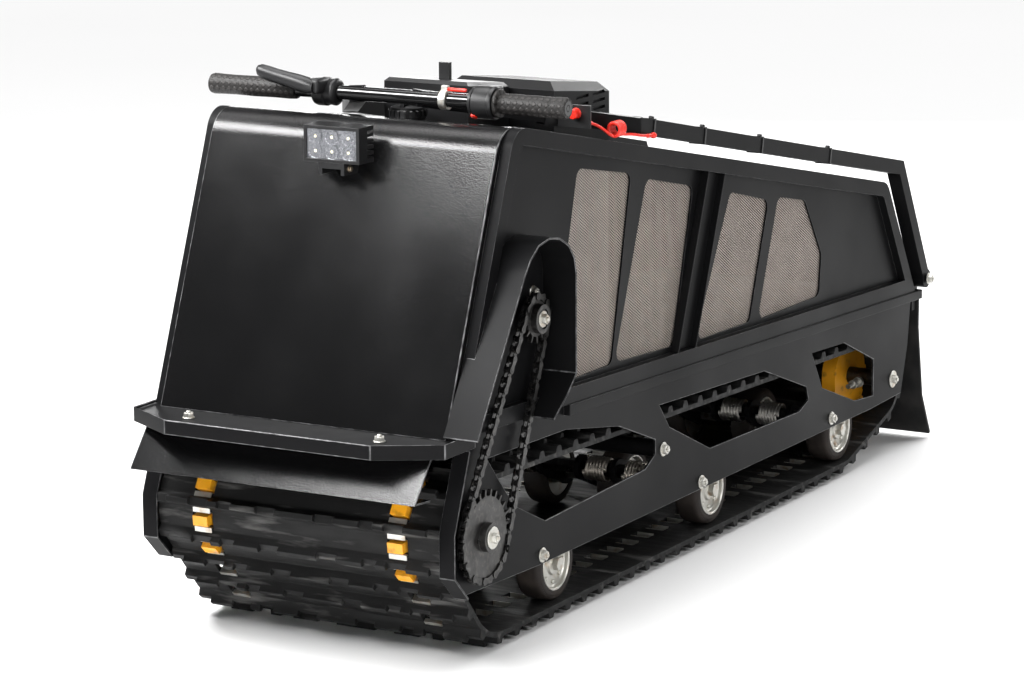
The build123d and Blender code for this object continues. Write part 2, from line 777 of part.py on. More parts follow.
keep("front_bumper", make_bumper())
visor_top = lip_top - SHEET - FIT
visor_low_z = lip_low - VISOR_DROP
visor_lean = (VISOR_LOW_X - VISOR_TOP_X) / (lip_low - visor_low_z)
visor_line = (
    (VISOR_LOW_X - VISOR_BACK, visor_low_z - SHEET),
    (VISOR_LOW_X, visor_low_z),
    (VISOR_LOW_X - visor_lean * (visor_top - visor_low_z), visor_top),
)
visor_half = plate_in - NOSE_IN
keep("front_visor", slab(strip(visor_line, SHEET), -visor_half, visor_half))

# Engine block and the covers on it
engine_line = ((engine_back, sill(engine_back) + FIT), (engine_front, sill(engine_front) + FIT))
engine_face = (*engine_line, (engine_front, engine_top), (engine_back, engine_top))
keep("engine_block", slab(engine_face, ENGINE_RIGHT, ENGINE_LEFT))


def make_cover(behind, before, right, left, above, bevel):
    """A bevelled cover on the engine, its top falling back like the deck."""
    back = BODY_FRONT - behind
    ahead = BODY_FRONT - before
    height = TOP_HEIGHT + above
    fall = COVER_TILT * (ahead - back)
    outline = ((back, engine_top), (ahead, engine_top), (ahead, height), (back, height - fall))
    cover = slab(outline, right, left)
    crown = cover.faces().sort_by(Axis.Z)[-1]
    return chamfer(crown.edges(), bevel)


covers = {name: make_cover(*sizes) for name, *sizes in COVERS}
cover_tops = {name: TOP_HEIGHT + sizes[4] for name, *sizes in COVERS}
filter_top = cover_tops["air_filter_box"]
knob = Pos(knob_x, KNOB_Y, filter_top) * Box(KNOB_THICK, KNOB_LONG, 2 * KNOB_HEIGHT)
keep("air_filter_box", covers["air_filter_box"] + knob)

shield = covers["muffler_shield"]
for behind in LOUVRE_BEHIND:
    for drop in LOUVRE_DROP:
        slot = Box(LOUVRE_LENGTH, 2 * LOUVRE_DEPTH, LOUVRE_HEIGHT)
        shield = shield - Pos(BODY_FRONT - behind, ENGINE_LEFT, cover_tops["muffler_shield"] - drop) * slot
keep("muffler_shield", shield)

tank = covers["fuel_tank"]
tank_top = cover_tops["fuel_tank"]
keep("fuel_tank", tank)
keep("fuel_cap", Pos(cap_x, CAP_Y, tank_top + CAP_HEIGHT / 2) * Cylinder(CAP_RADIUS, 2 * CAP_HEIGHT) - tank)

# Lamp on the hood, with its fins, lens and foot
lamp_z = top(hood_peak) - LAMP_DROP
lamp_face = BODY_FRONT + HOOD_PROUD - FRONT_LEAN * (lamp_z - lip_top) + LAMP_OUT
lamp_low = lamp_z - LAMP_HEIGHT / 2
lamp_mid = lamp_face - LAMP_DEPTH / 2
lens_wide = LAMP_WIDTH - 2 * LAMP_FRAME
lens_high = LAMP_HEIGHT - 2 * LAMP_FRAME
lamp = Pos(lamp_mid, 0, lamp_z) * Box(LAMP_DEPTH, LAMP_WIDTH, LAMP_HEIGHT)
lamp = lamp - Pos(lamp_face, 0, lamp_z) * Box(2 * LENS_SET, lens_wide, lens_high)
for index in range(FIN_COUNT):
    slot_z = lamp_low + LAMP_HEIGHT * (index + 1) / (FIN_COUNT + 1)
    lamp = lamp - Pos(lamp_face - LAMP_DEPTH, 0, slot_z) * Box(2 * FIN_DEPTH, LAMP_WIDTH, FIN_SLOT)
keep("lamp_body", lamp)
lens = Box(LENS, lens_wide - 2 * FIT, lens_high - 2 * FIT)
keep("lamp_lens", Pos(lamp_face - LENS_SET + LENS / 2 + FIT / 2, 0, lamp_z) * lens)
foot = Pos(lamp_mid, 0, lamp_low - LAMP_FOOT_DROP / 2) * Box(LAMP_DEPTH, LAMP_FOOT, LAMP_FOOT_DROP)
arch_wide = LAMP_FOOT - 2 * LAMP_FOOT_WALL
arch = Pos(lamp_mid, 0, lamp_low - LAMP_FOOT_DROP) * Box(LAMP_DEPTH, arch_wide, LAMP_FOOT_DROP)
keep("lamp_bracket", foot - arch - slab(hood_block(0), -inner_half, inner_half))

# Chain drive: pins on each wheel by its teeth, and evenly on the runs between
large_radius = CHAIN_PITCH / (2 * math.sin(math.pi / LARGE_TEETH))
small_radius = CHAIN_PITCH / (2 * math.sin(math.pi / SMALL_TEETH))
run_angle = math.atan2(small_z - DRIVE_Z, SMALL_X - DRIVE_X)
run_tilt = math.acos((large_radius - small_radius) / math.dist((DRIVE_X, DRIVE_Z), (SMALL_X, small_z)))
run_low = run_angle - run_tilt
run_high = run_angle + run_tilt
# Wheels of the chain: name, x, z, pitch radius, teeth, first and last angle of its wrap
CHAIN_WHEELS = (
    ("sprocket_large", DRIVE_X, DRIVE_Z, large_radius, LARGE_TEETH, run_high, run_low + math.tau),
    ("sprocket_small", SMALL_X, small_z, small_radius, SMALL_TEETH, run_low, run_high),
)
half_chain = CHAIN_HEIGHT / 2
chain_low = CHAIN_Y - CHAIN_WIDTH / 2
chain_high = CHAIN_Y + CHAIN_WIDTH / 2


def wrap_angles(teeth, first, last):
    """Angles of the pins on one wheel's wrap."""
    step = math.tau / teeth
    steps = int((last - first) / step)
    start = (first + last - steps * step) / 2
    return [start + index * step for index in range(steps + 1)]


def make_chain():
    """Two rows of link plates joined by their pins."""
    outer, inner, pins = [], [], []
    for name, x, z, radius, teeth, first, last in CHAIN_WHEELS:
        for angle in wrap_angles(teeth, first, last):
            outer.append(around(x, z, radius + half_chain, angle))
            inner.append(around(x, z, radius - half_chain, angle))
            pins.append(around(x, z, radius, angle))
    runs = []
    for start, end in zip(pins, pins[1:] + pins[:1]):
        links = round(math.dist(start, end) / CHAIN_PITCH)
        for index in range(1, links):
            share = index / links
            runs.append(tuple(a + share * (b - a) for a, b in zip(start, end)))
    face = Polygon(*outer, align=None) - Polygon(*inner, align=None)
    plates = slab(face, chain_low, chain_low + CHAIN_PLATE) + slab(face, chain_high - CHAIN_PLATE, chain_high)
    low = chain_low + CHAIN_PLATE / 2
    high = chain_high - CHAIN_PLATE / 2
    return plates + [bar(x, z, CHAIN_PIN, PIN_SIDES, low, high) for x, z in pins + runs]


def make_sprocket(x, z, radius, teeth, phase, hub):
    """A chain wheel whose teeth stand between the pins."""
    step = math.tau / teeth
    root = GULLET / radius
    land = TOOTH_LAND / radius
    outline = []
    for index in range(teeth):
        pin = phase + index * step
        outline.append(around(x, z, radius - GULLET - FIT, pin - root))
        outline.append(around(x, z, radius - GULLET - FIT, pin + root))
        outline.append(around(x, z, radius + TOOTH_TIP, pin + step / 2 - land))
        outline.append(around(x, z, radius + TOOTH_TIP, pin + step / 2 + land))
    wheel = slab(outline, CHAIN_Y - SPROCKET / 2, CHAIN_Y + SPROCKET / 2)
    wheel = wheel + rod(x, z, hub, CHAIN_Y, CHAIN_Y + SPROCKET / 2 + HUB_LENGTH)
    return wheel - rod(x, z, SHAFT_RADIUS + FIT, chain_low, chain_high + HUB_LENGTH)


keep("drive_chain", make_chain())
for name, x, z, radius, teeth, first, last in CHAIN_WHEELS:
    phase = wrap_angles(teeth, first, last)[0]
    keep(name, make_sprocket(x, z, radius, teeth, phase, min(HUB_RADIUS, radius - 2 * GULLET)))
keep("output_shaft", rod(SMALL_X, small_z, SHAFT_RADIUS, ENGINE_LEFT, shaft_end))

guard_back = SMALL_X - GUARD_BEHIND
guard_top = small_z + GUARD_ABOVE
guard_line = (
    *[(guard_back + x, sill(guard_back + x) + z) for x, z in GUARD_FOOT],
    *[(guard_back + x, guard_top + z) for x, z in GUARD_CROWN],
    (BODY_FRONT + GUARD_END, lip_top + BUMPER_RIM + SHEET),
)
keep("chain_guard", slab(strip(guard_line, -SHEET), panel_out, GUARD_OUT) - left_wall)

# Tail
beam_top = sill(SILL_REAR) - SILL_TUBE - FIT
flap_back = SILL_REAR + TAIL_INSET
beam_front = flap_back + TAIL_BEAM
beam_low = beam_top - TAIL_BEAM
beam_face = ((beam_front, beam_top), (flap_back, beam_top), (flap_back, beam_low), (beam_front, beam_low))
keep("tail_beam", slab(beam_face, -plate_out, plate_out))
flap_line = (
    (flap_back, beam_top),
    (flap_back, beam_top - FLAP_DROP),
    (flap_back - FLAP_KICK, FLAP_LOW + FLAP_KNEE),
    (flap_back - FLAP_SWEEP, FLAP_LOW),
)
keep("mud_flap", slab(strip(flap_line, -FLAP), -FLAP_WIDTH / 2, FLAP_WIDTH / 2))
hitch_mid = Pos((HITCH_REAR + beam_front) / 2, 0, beam_top + HITCH_PLATE / 2)
hitch = hitch_mid * Box(beam_front - HITCH_REAR, HITCH_WIDTH, HITCH_PLATE)
bore = Pos(HITCH_REAR + HITCH_EDGE, 0, beam_top + HITCH_PLATE / 2) * Cylinder(HITCH_BORE, 2 * HITCH_PLATE)
keep("hitch_plate", hitch - bore)

# Tiller brackets with their pins
half_tube = ARM_TUBE / 2
eye_in = ARM_SPREAD - half_tube
eye_out = ARM_SPREAD + half_tube
bracket_out = eye_in - BRACKET_PLAY
bracket_low = sill(SILL_REAR) - SILL_TUBE + SHEET / 2
foot_high = pivot_z - EYE_RADIUS - BRACKET_PLAY
foot_front = SILL_REAR + BRACKET_FOOT
foot_face = (
    (SILL_REAR, bracket_low),
    (foot_front, bracket_low),
    (foot_front, foot_high),
    (SILL_REAR, foot_high),
)
ear_face = (
    (foot_front, bracket_low),
    (foot_front, foot_high),
    (PIVOT_X + EYE_RADIUS, pivot_z + EYE_RADIUS),
    (PIVOT_X - EYE_RADIUS, pivot_z + EYE_RADIUS),
    (PIVOT_X - EYE_RADIUS, bracket_low),
)
bracket = slab(ear_face, bracket_out - BRACKET, bracket_out)
bracket = bracket + slab(foot_face, bracket_out - BRACKET, sill_in)
bracket = bracket + rod(PIVOT_X, pivot_z, PIN_RADIUS, bracket_out - BRACKET, eye_out + SHEET)
keep("tiller_brackets", *both(bracket))

# Tiller of square tube
arm_lift = ARM_GAP + half_tube
neck = Vector(neck_x, ARM_SPREAD, top(neck_x) + arm_lift)
joint = Vector(bar_x, bar_join, bar_z)
neck_way = (joint - neck).normalized()


def make_tiller_arm():
    """One arm of the tiller: up from its eye, forward over the body and in to the handlebar."""
    line = ((PIVOT_X, pivot_z), (BEND_X, top(BEND_X) + arm_lift), (neck.X, neck.Z))
    face = Polygon(*beside(line, half_tube), *reversed(beside(line, -half_tube)), align=None)
    arm = slab(face, eye_in, eye_out)
    across = Vector(-neck_way.Y, neck_way.X, 0)
    section = Plane(origin=neck, x_dir=across, z_dir=neck_way) * Rectangle(ARM_TUBE, ARM_TUBE)
    arm = arm + extrude(section, (joint - neck).length)
    arm = arm + Pos(neck) * Cylinder(half_tube, ARM_TUBE)
    arm = arm + rod(PIVOT_X, pivot_z, EYE_RADIUS, eye_in, eye_out)
    arm = arm - rod(PIVOT_X, pivot_z, PIN_RADIUS + PIN_PLAY, eye_in, eye_out)
    return arm - rod(bar_x, bar_z, BAR_RADIUS + FIT, -BAR_HALF, BAR_HALF)


tiller_arm = make_tiller_arm()
keep("tiller_arm_left", tiller_arm)
keep("tiller_arm_right", mirror(tiller_arm, about=Plane.XZ))
keep("handlebar", rod(bar_x, bar_z, BAR_RADIUS, -BAR_HALF + FIT, BAR_HALF - FIT))


def on_bar(radius, low, high):
    """A sleeve on the handlebar."""
    return rod(bar_x, bar_z, radius, low, high) - rod(bar_x, bar_z, BAR_RADIUS + FIT, low, high)


grip_low = BAR_HALF - GRIP_LENGTH
perch_high = -bar_join - PERCH_ASIDE
perch_low = perch_high - PERCH_LENGTH
keep("grips", on_bar(GRIP_RADIUS, grip_low, BAR_HALF), on_bar(GRIP_RADIUS, -BAR_HALF, perch_low - BRAKE_GAP))
housing_high = grip_low - BRACKET_PLAY
keep("throttle_housing", on_bar(HOUSING_RADIUS, housing_high - HOUSING_LENGTH, housing_high))

clamp = on_bar(CLAMP_RADIUS, clamp_y - CLAMP_LENGTH / 2, clamp_y + CLAMP_LENGTH / 2)
clamp_arm = Box(CLAMP_LENGTH / 2, CLAMP_LEVER, CLAMP_LENGTH / 2)
clamp = clamp + Pos(bar_x, clamp_y + CLAMP_LEVER / 2, bar_z + CLAMP_RADIUS) * clamp_arm
keep("bar_clamp", clamp)


def make_brake():
    """The brake's perch on the bar and its stout lever before the grip."""
    root = (perch_low + LEVER_ROOT, bar_z + LEVER_ROOT)
    tip = (root[0] - LEVER_LENGTH, root[1] + LEVER_RISE)
    face = loop_face([(*root, LEVER_ROOT), (*tip, LEVER_TIP)])
    near = bar_x + LEVER_REACH
    lever = extrude(Plane(origin=(near, 0, 0), x_dir=(0, 1, 0), z_dir=(1, 0, 0)) * face, LEVER_THICK)
    lever = chamfer(lever.faces().sort_by(Axis.X)[-1].edges(), LEVER_EDGE)
    block = Box(LEVER_REACH + SHEET, 2 * LEVER_ROOT, 2 * LEVER_ROOT)
    block = Pos(bar_x + LEVER_REACH / 2, *root) * block
    perch = rod(bar_x, bar_z, PERCH_RADIUS, perch_low, perch_high) + block + lever
    return perch - rod(bar_x, bar_z, BAR_RADIUS + FIT, -BAR_HALF, BAR_HALF)


keep("brake_lever", make_brake())


switch_spot = neck + (joint - neck) * ((switch_x - neck.X) / (joint.X - neck.X))
switch_way = Vector(-neck_way.Y, neck_way.X, 0).normalized()
switch_y = switch_spot.Y + SWITCH_ASIDE
switch_z = switch_spot.Z + SWITCH_ABOVE


def make_switch():
    """The stop switch: a band round the left arm, a plate beside it, a barrel and a button in front."""
    seat = Plane(origin=switch_spot, x_dir=switch_way, z_dir=neck_way)
    outer = ARM_TUBE + 2 * SWITCH_WALL
    band = extrude(seat * Rectangle(outer, outer), SWITCH_BAND / 2, both=True)
    high = switch_z + SWITCH_HIGH
    low = switch_z - SWITCH_LOW
    far = switch_y + SWITCH_REACH
    plate = Box(SWITCH_PLATE, far - switch_spot.Y, high - low)
    plate = Pos(switch_x, (far + switch_spot.Y) / 2, (high + low) / 2) * plate
    passage = extrude(seat * Rectangle(ARM_TUBE + 2 * FIT, ARM_TUBE + 2 * FIT), 2 * SWITCH_BAND, both=True)
    face = Plane(origin=(switch_x, switch_y, switch_z), z_dir=(1, 0, 0))
    barrel = extrude(face * Circle(SWITCH_RADIUS), SWITCH_LENGTH, dir=(-1, 0, 0))
    button = extrude(face * Circle(BUTTON_RADIUS), SWITCH_PLATE / 2 + BUTTON_LENGTH)
    return band + plate - passage + barrel + button


keep("stop_switch", make_switch())


def make_cord(points):
    """A length of cord along a line of points, bent as gently as its runs allow."""
    runs = [math.dist(a, b) for a, b in zip(points, points[1:])]
    radii = []
    for index in range(1, len(points) - 1):
        before = Vector(points[index]) - Vector(points[index - 1])
        after = Vector(points[index + 1]) - Vector(points[index])
        turn = math.radians(before.get_angle(after))
        radii.append(CORD_BEND * min(runs[index - 1], runs[index]) / math.tan(turn / 2))
    print("cord radii", [round(radius, 1) for radius in radii])
    path = FilletPolyline(*points, radius=radii)
    return sweep(Plane(origin=path @ 0, z_dir=path % 0) * RegularPolygon(CORD_RADIUS, CORD_SIDES), path=path)




def from_coil(route):
    """A route's points, moved to the coil."""
    return [(coil_x + x, coil_y + y, coil_z + z) for x, y, z in route]


coil_middle = Pos(coil_x, coil_y, coil_z) * Rot(0, 90, 0)
keep("lanyard_coil", coil_middle * Cylinder(COIL_RADIUS, COIL_LENGTH))
lead_start = (switch_x - SWITCH_PLATE / 2, switch_y + LEAD_ASIDE, switch_z - LEAD_BELOW)
lead_bend = (lead_start[0] - LEAD_OUT, *lead_start[1:])
lead_route = (lead_start, lead_bend, *from_coil(LEAD_ROUTE))
keep("lanyard_lead", make_cord(lead_route))
keep("lanyard_tail", make_cord(from_coil(TAIL_ROUTE)))

for name, solids in nodes.items():
    export_step(Compound(solids) if len(solids) > 1 else solids[0], f"parts/{name}.step")
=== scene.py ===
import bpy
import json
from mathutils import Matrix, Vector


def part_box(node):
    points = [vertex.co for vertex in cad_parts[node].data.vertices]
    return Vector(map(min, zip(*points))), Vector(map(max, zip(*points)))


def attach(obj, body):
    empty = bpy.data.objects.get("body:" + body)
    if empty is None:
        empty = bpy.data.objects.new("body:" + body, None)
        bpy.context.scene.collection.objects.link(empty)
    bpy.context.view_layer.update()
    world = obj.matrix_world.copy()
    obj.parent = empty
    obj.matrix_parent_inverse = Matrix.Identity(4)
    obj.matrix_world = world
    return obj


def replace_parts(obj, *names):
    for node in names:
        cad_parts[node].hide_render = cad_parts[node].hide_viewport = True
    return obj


bl_info = {
    "name": "Tracked snow tug",
    "version": (1, 0, 0),
    "blender": (4, 5, 0),
    "location": "View3D > Sidebar > Snow Tug",
    "description": "Dresses the snow tug's solids with mesh, fasteners, springs, lamp, controls and finishes",
    "category": "Object",
}

import contextlib
import json
import math

import bmesh
import bpy
from mathutils import Matrix, Vector

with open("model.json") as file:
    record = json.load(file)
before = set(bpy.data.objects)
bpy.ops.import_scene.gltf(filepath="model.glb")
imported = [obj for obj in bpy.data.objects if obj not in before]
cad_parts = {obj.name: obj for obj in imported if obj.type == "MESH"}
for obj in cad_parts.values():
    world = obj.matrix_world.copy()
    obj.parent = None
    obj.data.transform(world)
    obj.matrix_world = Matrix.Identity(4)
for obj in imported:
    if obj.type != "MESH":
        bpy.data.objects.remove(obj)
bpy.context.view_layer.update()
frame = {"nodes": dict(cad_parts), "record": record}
MM = 0.001
# Points of a repeated pattern that are nearer than this are made one, in millimetres
SEAM_REACH = 0.05
# Middle line of the handlebar, in millimetres
BAR_X = 584
BAR_Z = 801.95


# Sizes and colours that a user would change

def colour(name, text, value):
    """A colour setting in the scene's linear values."""
    return bpy.props.FloatVectorProperty(
        name=name, description=text, subtype="COLOR", size=4, min=0, max=1, default=(*value, 1))


def length(name, text, value):
    """A length setting in metres, given in millimetres."""
    return bpy.props.FloatProperty(
        name=name, description=text, unit="LENGTH", subtype="DISTANCE", min=0, default=value * MM)


def number(name, text, value, unit="NONE"):
    """A plain number setting."""
    return bpy.props.FloatProperty(name=name, description=text, unit=unit, min=0, default=value)


def count(name, text, value):
    """A whole number setting."""
    return bpy.props.IntProperty(name=name, description=text, min=1, default=value)


class TugPaints(bpy.types.PropertyGroup):
    """Colours of the tug's finishes."""
    panel: colour("Panel", "Black powder coat of hood and visor", (0.0040, 0.0040, 0.0042))
    frame: colour("Frame", "Satin powder coat of plates, body, bumper and tiller", (0.0060, 0.0060, 0.0064))
    mesh: colour("Mesh", "Tan grey of the expanded metal", (0.50, 0.44, 0.395))
    track: colour("Track", "Black rubber of the track and flap", (0.0085, 0.0085, 0.0085))
    scuff: colour("Scuff", "Grey of the rubber's rubbed places", (0.12, 0.118, 0.114))
    tyre: colour("Tyre", "Brown-black rubber of the rollers", (0.020, 0.016, 0.014))
    zinc: colour("Zinc", "Bright zinc of bolts and rims", (0.58, 0.57, 0.53))
    rust: colour("Rust", "Yellow-brown bloom on zinc", (0.30, 0.17, 0.06))
    spring: colour("Spring", "Bronze tint of the springs", (0.50, 0.41, 0.31))
    amber: colour("Amber", "Amber plastic of the track's sprockets", (0.83, 0.36, 0.012))
    steel: colour("Steel", "Dark oiled steel of chain and sprockets", (0.060, 0.059, 0.058))
    plastic: colour("Plastic", "Black moulded plastic", (0.0085, 0.0085, 0.0090))
    casting: colour("Casting", "Grey of the engine's casting", (0.10, 0.10, 0.105))
    grip: colour("Grip", "Brown-grey rubber of the grips", (0.0120, 0.0110, 0.0105))
    red: colour("Red", "Red of the stop switch and its lanyard", (0.72, 0.020, 0.008))


class TugSizes(bpy.types.PropertyGroup):
    """Sizes of the tug's small pieces."""
    cell_long: length("Cell length", "Long way of one mesh cell", 7.7)
    cell_short: length("Cell height", "Short way of one mesh cell", 4.6)
    strand: length("Strand", "Half width of a strand of mesh", 0.62)
    bolt_head: length("Bolt head", "Radius of a hexagon head", 8)
    washer: length("Washer", "Radius of a plain washer", 11.5)
    wire: length("Wire", "Radius of a torsion spring's wire", 2.9)
    coils: count("Coils", "Turns of a torsion spring", 7)
    cord: length("Cord", "Radius of the lanyard's cord", 2.25)
    cord_length: length("Cord length", "Length of the lanyard along its line", 464)


class TugStage(bpy.types.PropertyGroup):
    """Floor, light and camera."""
    floor: colour("Floor", "Pale floor", (0.86, 0.86, 0.86))
    key: number("Key", "Power that the studio's boxes and strips are multiples of", 24, "POWER")
    top: number("Top", "Strength of the light from straight above", 3.45)
    sky: number("Sky", "Strength of the white surround", 0.05)
    lens: number("Lens", "Focal length in mm on a 36 mm sensor", 131.30)


def paints():
    """The colours in use."""
    return bpy.context.scene.tug_paints


def sizes():
    """The sizes in use."""
    return bpy.context.scene.tug_sizes


# Finishes

class Finish:
    """A procedural finish: a shader with patterns placed by the piece's own coordinates."""

    def __init__(self, name, base, roughness=0.5, metallic=0, **sockets):
        self.material = bpy.data.materials.new(name)
        self.material.use_nodes = True
        self.nodes = self.material.node_tree.nodes
        self.shader = self.nodes["Principled BSDF"]
        self.place = self.nodes.new("ShaderNodeTexCoord").outputs["Object"]
        self.feed("Base Color", base)
        self.feed("Roughness", roughness)
        self.feed("Metallic", metallic)
        for socket, value in sockets.items():
            self.feed(socket.replace("_", " "), value)

    def feed(self, socket, value):
        """Links an output to a socket or sets it to a value; a name is one of the shader's own sockets."""
        if isinstance(socket, str):
            socket = self.shader.inputs[socket]
        if isinstance(value, bpy.types.NodeSocket):
            self.material.node_tree.links.new(value, socket)
        else:
            socket.default_value = value

    def node(self, kind, **inputs):
        """A node with some of its sockets fed, by name with underscores for spaces."""
        made = self.nodes.new(kind)
        for name, value in inputs.items():
            self.feed(made.inputs[name.replace("_", " ")], value)
        return made

    def stretched(self, *scale):
        """The piece's coordinates, scaled along each axis."""
        return self.node("ShaderNodeMapping", Vector=self.place, Scale=scale).outputs["Vector"]

    def noise(self, scale, detail, where=None):
        """Cloudy noise with so many lumps to a metre."""
        made = self.node("ShaderNodeTexNoise", Vector=where or self.place, Scale=scale, Detail=detail)
        return made.outputs["Fac"]

    def cells(self, scale):
        """Distance to the middle of rounded cells."""
        return self.node("ShaderNodeTexVoronoi", Vector=self.place, Scale=scale).outputs["Distance"]

    def split(self):
        """The piece's coordinates as x, y and z."""
        made = self.node("ShaderNodeSeparateXYZ", Vector=self.place)
        return made.outputs["X"], made.outputs["Y"], made.outputs["Z"]

    def band(self, source, low, high, first=0, last=1):
        """A value carried from one range into another, and held at its ends."""
        made = self.node(
            "ShaderNodeMapRange", Value=source, From_Min=low, From_Max=high, To_Min=first, To_Max=last)
        return made.outputs["Result"]

    def maths(self, operation, first, second=0):
        """One sum of two values."""
        made = self.nodes.new("ShaderNodeMath")
        made.operation = operation
        for socket, value in zip(made.inputs, (first, second)):
            self.feed(socket, value)
        return made.outputs["Value"]

    def tint(self, share, first, second):
        """Gives the finish two colours, mixed by a share."""
        made = self.nodes.new("ShaderNodeMix")
        made.data_type = "RGBA"
        factor = next(s for s in made.inputs if s.type == "VALUE" and s.enabled)
        colours = [s for s in made.inputs if s.type == "RGBA"]
        for socket, value in zip((factor, *colours), (share, first, second)):
            self.feed(socket, value)
        self.feed("Base Color", next(s for s in made.outputs if s.type == "RGBA"))

    def relief(self, height, strength, depth):
        """Bumps as deep as that, in millimetres."""
        made = self.node("ShaderNodeBump", Height=height, Strength=strength, Distance=depth * MM)
        self.feed("Normal", made.outputs["Normal"])


def paler(base, times):
    """A colour made so many times brighter."""
    return (*(value * times for value in base[:3]), 1)


def patchy(name, base, sheen=None, patches=None, grain=None, **settings):
    """A finish with an uneven sheen, patches of a second colour and a fine grain.

    sheen is (lumps to a metre, detail, least roughness, most), patches are (lumps, detail, noise where they
    begin, noise where they are full, their share, their colour) and grain is (lumps, detail, strength, depth
    in mm).
    """
    made = Finish(name, base, **settings)
    if sheen:
        lumps, detail, least, most = sheen
        made.feed("Roughness", made.band(made.noise(lumps, detail), 0.3, 0.7, least, most))
    if patches:
        lumps, detail, begin, full, share, second = patches
        made.tint(made.band(made.noise(lumps, detail), begin, full, 0, share), base, second)
    if grain:
        lumps, detail, strength, depth = grain
        made.relief(made.noise(lumps, detail), strength, depth)
    return made


def powder_coat(name, base, smooth, lumps, strength, gloss):
    """Black powder coat with an orange-peel grain, faint haze and a few light specks."""
    return patchy(
        name, base, sheen=(5, 4, smooth - 0.05, smooth + 0.07),
        patches=(420, 2, 0.70, 0.78, 0.30, paler(base, 5)), grain=(lumps, 2, strength, 0.5),
        Specular_IOR_Level=gloss)


# Dust on rubber as (times, plus) for red, green and blue
DUST = ((2.6, 0.012), (2.5, 0.011), (2.4, 0.010))


def plain_rubber(name, base, lumps):
    """Moulded rubber with a soft grain and a dusty haze."""
    dusty = (*(value * times + plus for value, (times, plus) in zip(base, DUST)), 1)
    return patchy(
        name, base, sheen=(26, 5, 0.50, 0.72), patches=(26, 5, 0.45, 0.75, 0.6, dusty),
        grain=(lumps, 4, 0.4, 0.4), Specular_IOR_Level=0.25)


def track_rubber():
    """Matte black rubber, rubbed grey in streaks."""
    made = Finish("track_rubber", paints().track, Specular_IOR_Level=0.2)
    streaks = made.noise(1, 6, made.stretched(60, 9, 60))
    made.tint(made.band(streaks, 0.56, 0.74, 0, 0.85), paints().track, paints().scuff)
    made.feed("Roughness", made.band(streaks, 0.35, 0.7, 0.48, 0.80))
    made.relief(made.noise(260, 5), 0.5, 0.6)
    return made


# Waves of the pattern round a grip, and how far they turn in a metre along it, in radians
KNURLS_ROUND = 5
KNURLS_ALONG = 300


def knurled_rubber():
    """Grip rubber with a raised diamond pattern round the bar, its ridges painted paler as a painted
    highlight.
    """
    base = paints().grip
    made = Finish("grip_rubber", base, 0.52, Specular_IOR_Level=0.3)
    x, y, z = made.split()
    up, ahead = (made.maths("SUBTRACT", *pair) for pair in ((z, BAR_Z * MM), (x, BAR_X * MM)))
    round_turn = made.maths("MULTIPLY", made.maths("ARCTAN2", up, ahead), KNURLS_ROUND)
    along = made.maths("MULTIPLY", y, KNURLS_ALONG)
    waves = [made.maths("SINE", made.maths(way, round_turn, along)) for way in ("ADD", "SUBTRACT")]
    ridge_height_and_highlight = made.band(made.maths("MULTIPLY", *waves), 0.05, 0.45)
    # The ridges are painted paler than the grooves: a painted highlight on the raised diamonds
    made.tint(ridge_height_and_highlight, base, paler(base, 2.2))
    made.relief(ridge_height_and_highlight, 0.9, 1.4)
    return made


def bright_zinc():
    """Zinc plate with fine turning marks, stains and a little bloom."""
    made = patchy(
        "bright_zinc", paints().zinc, metallic=1, sheen=(140, 4, 0.34, 0.58),
        patches=(55, 6, 0.54, 0.70, 0.55, paints().rust))
    made.relief(made.noise(1, 3, made.stretched(1500, 300, 1500)), 0.12, 0.15)
    return made


def spring_wire():
    """Bronze-tinted spring steel, turning to silver toward the back of the tug."""
    made = patchy("spring_wire", paints().spring, metallic=1, sheen=(180, 4, 0.24, 0.50))
    back = made.band(made.split()[0], -0.1, 0.3, 0.85, 0)
    made.tint(back, paints().spring, (0.55, 0.54, 0.52, 1))
    return made


def moulded_plastic():
    """Black plastic with a fine leather-like grain."""
    made = patchy("moulded_plastic", paints().plastic, sheen=(18, 4, 0.30, 0.44), Specular_IOR_Level=0.35)
    made.relief(made.cells(1300), 0.25, 0.25)
    return made


def lamp_silver():
    """Silvered plastic with small facets that sparkle, by their bumps and by a painted sparkle in their
    colour.
    """
    bright, dark = (0.34, 0.35, 0.37, 1), (0.07, 0.07, 0.08, 1)
    made = Finish("lamp_silver", bright, metallic=1)
    facets = made.cells(900)
    made.feed("Roughness", made.band(facets, 0.1, 0.7, 0.14, 0.42))
    # Painted sparkle: each facet's colour is lighter in its middle and darker at its edges
    made.tint(made.band(facets, 0.35, 0.75), bright, dark)
    made.relief(facets, 0.9, 0.5)
    return made


finishes = {}


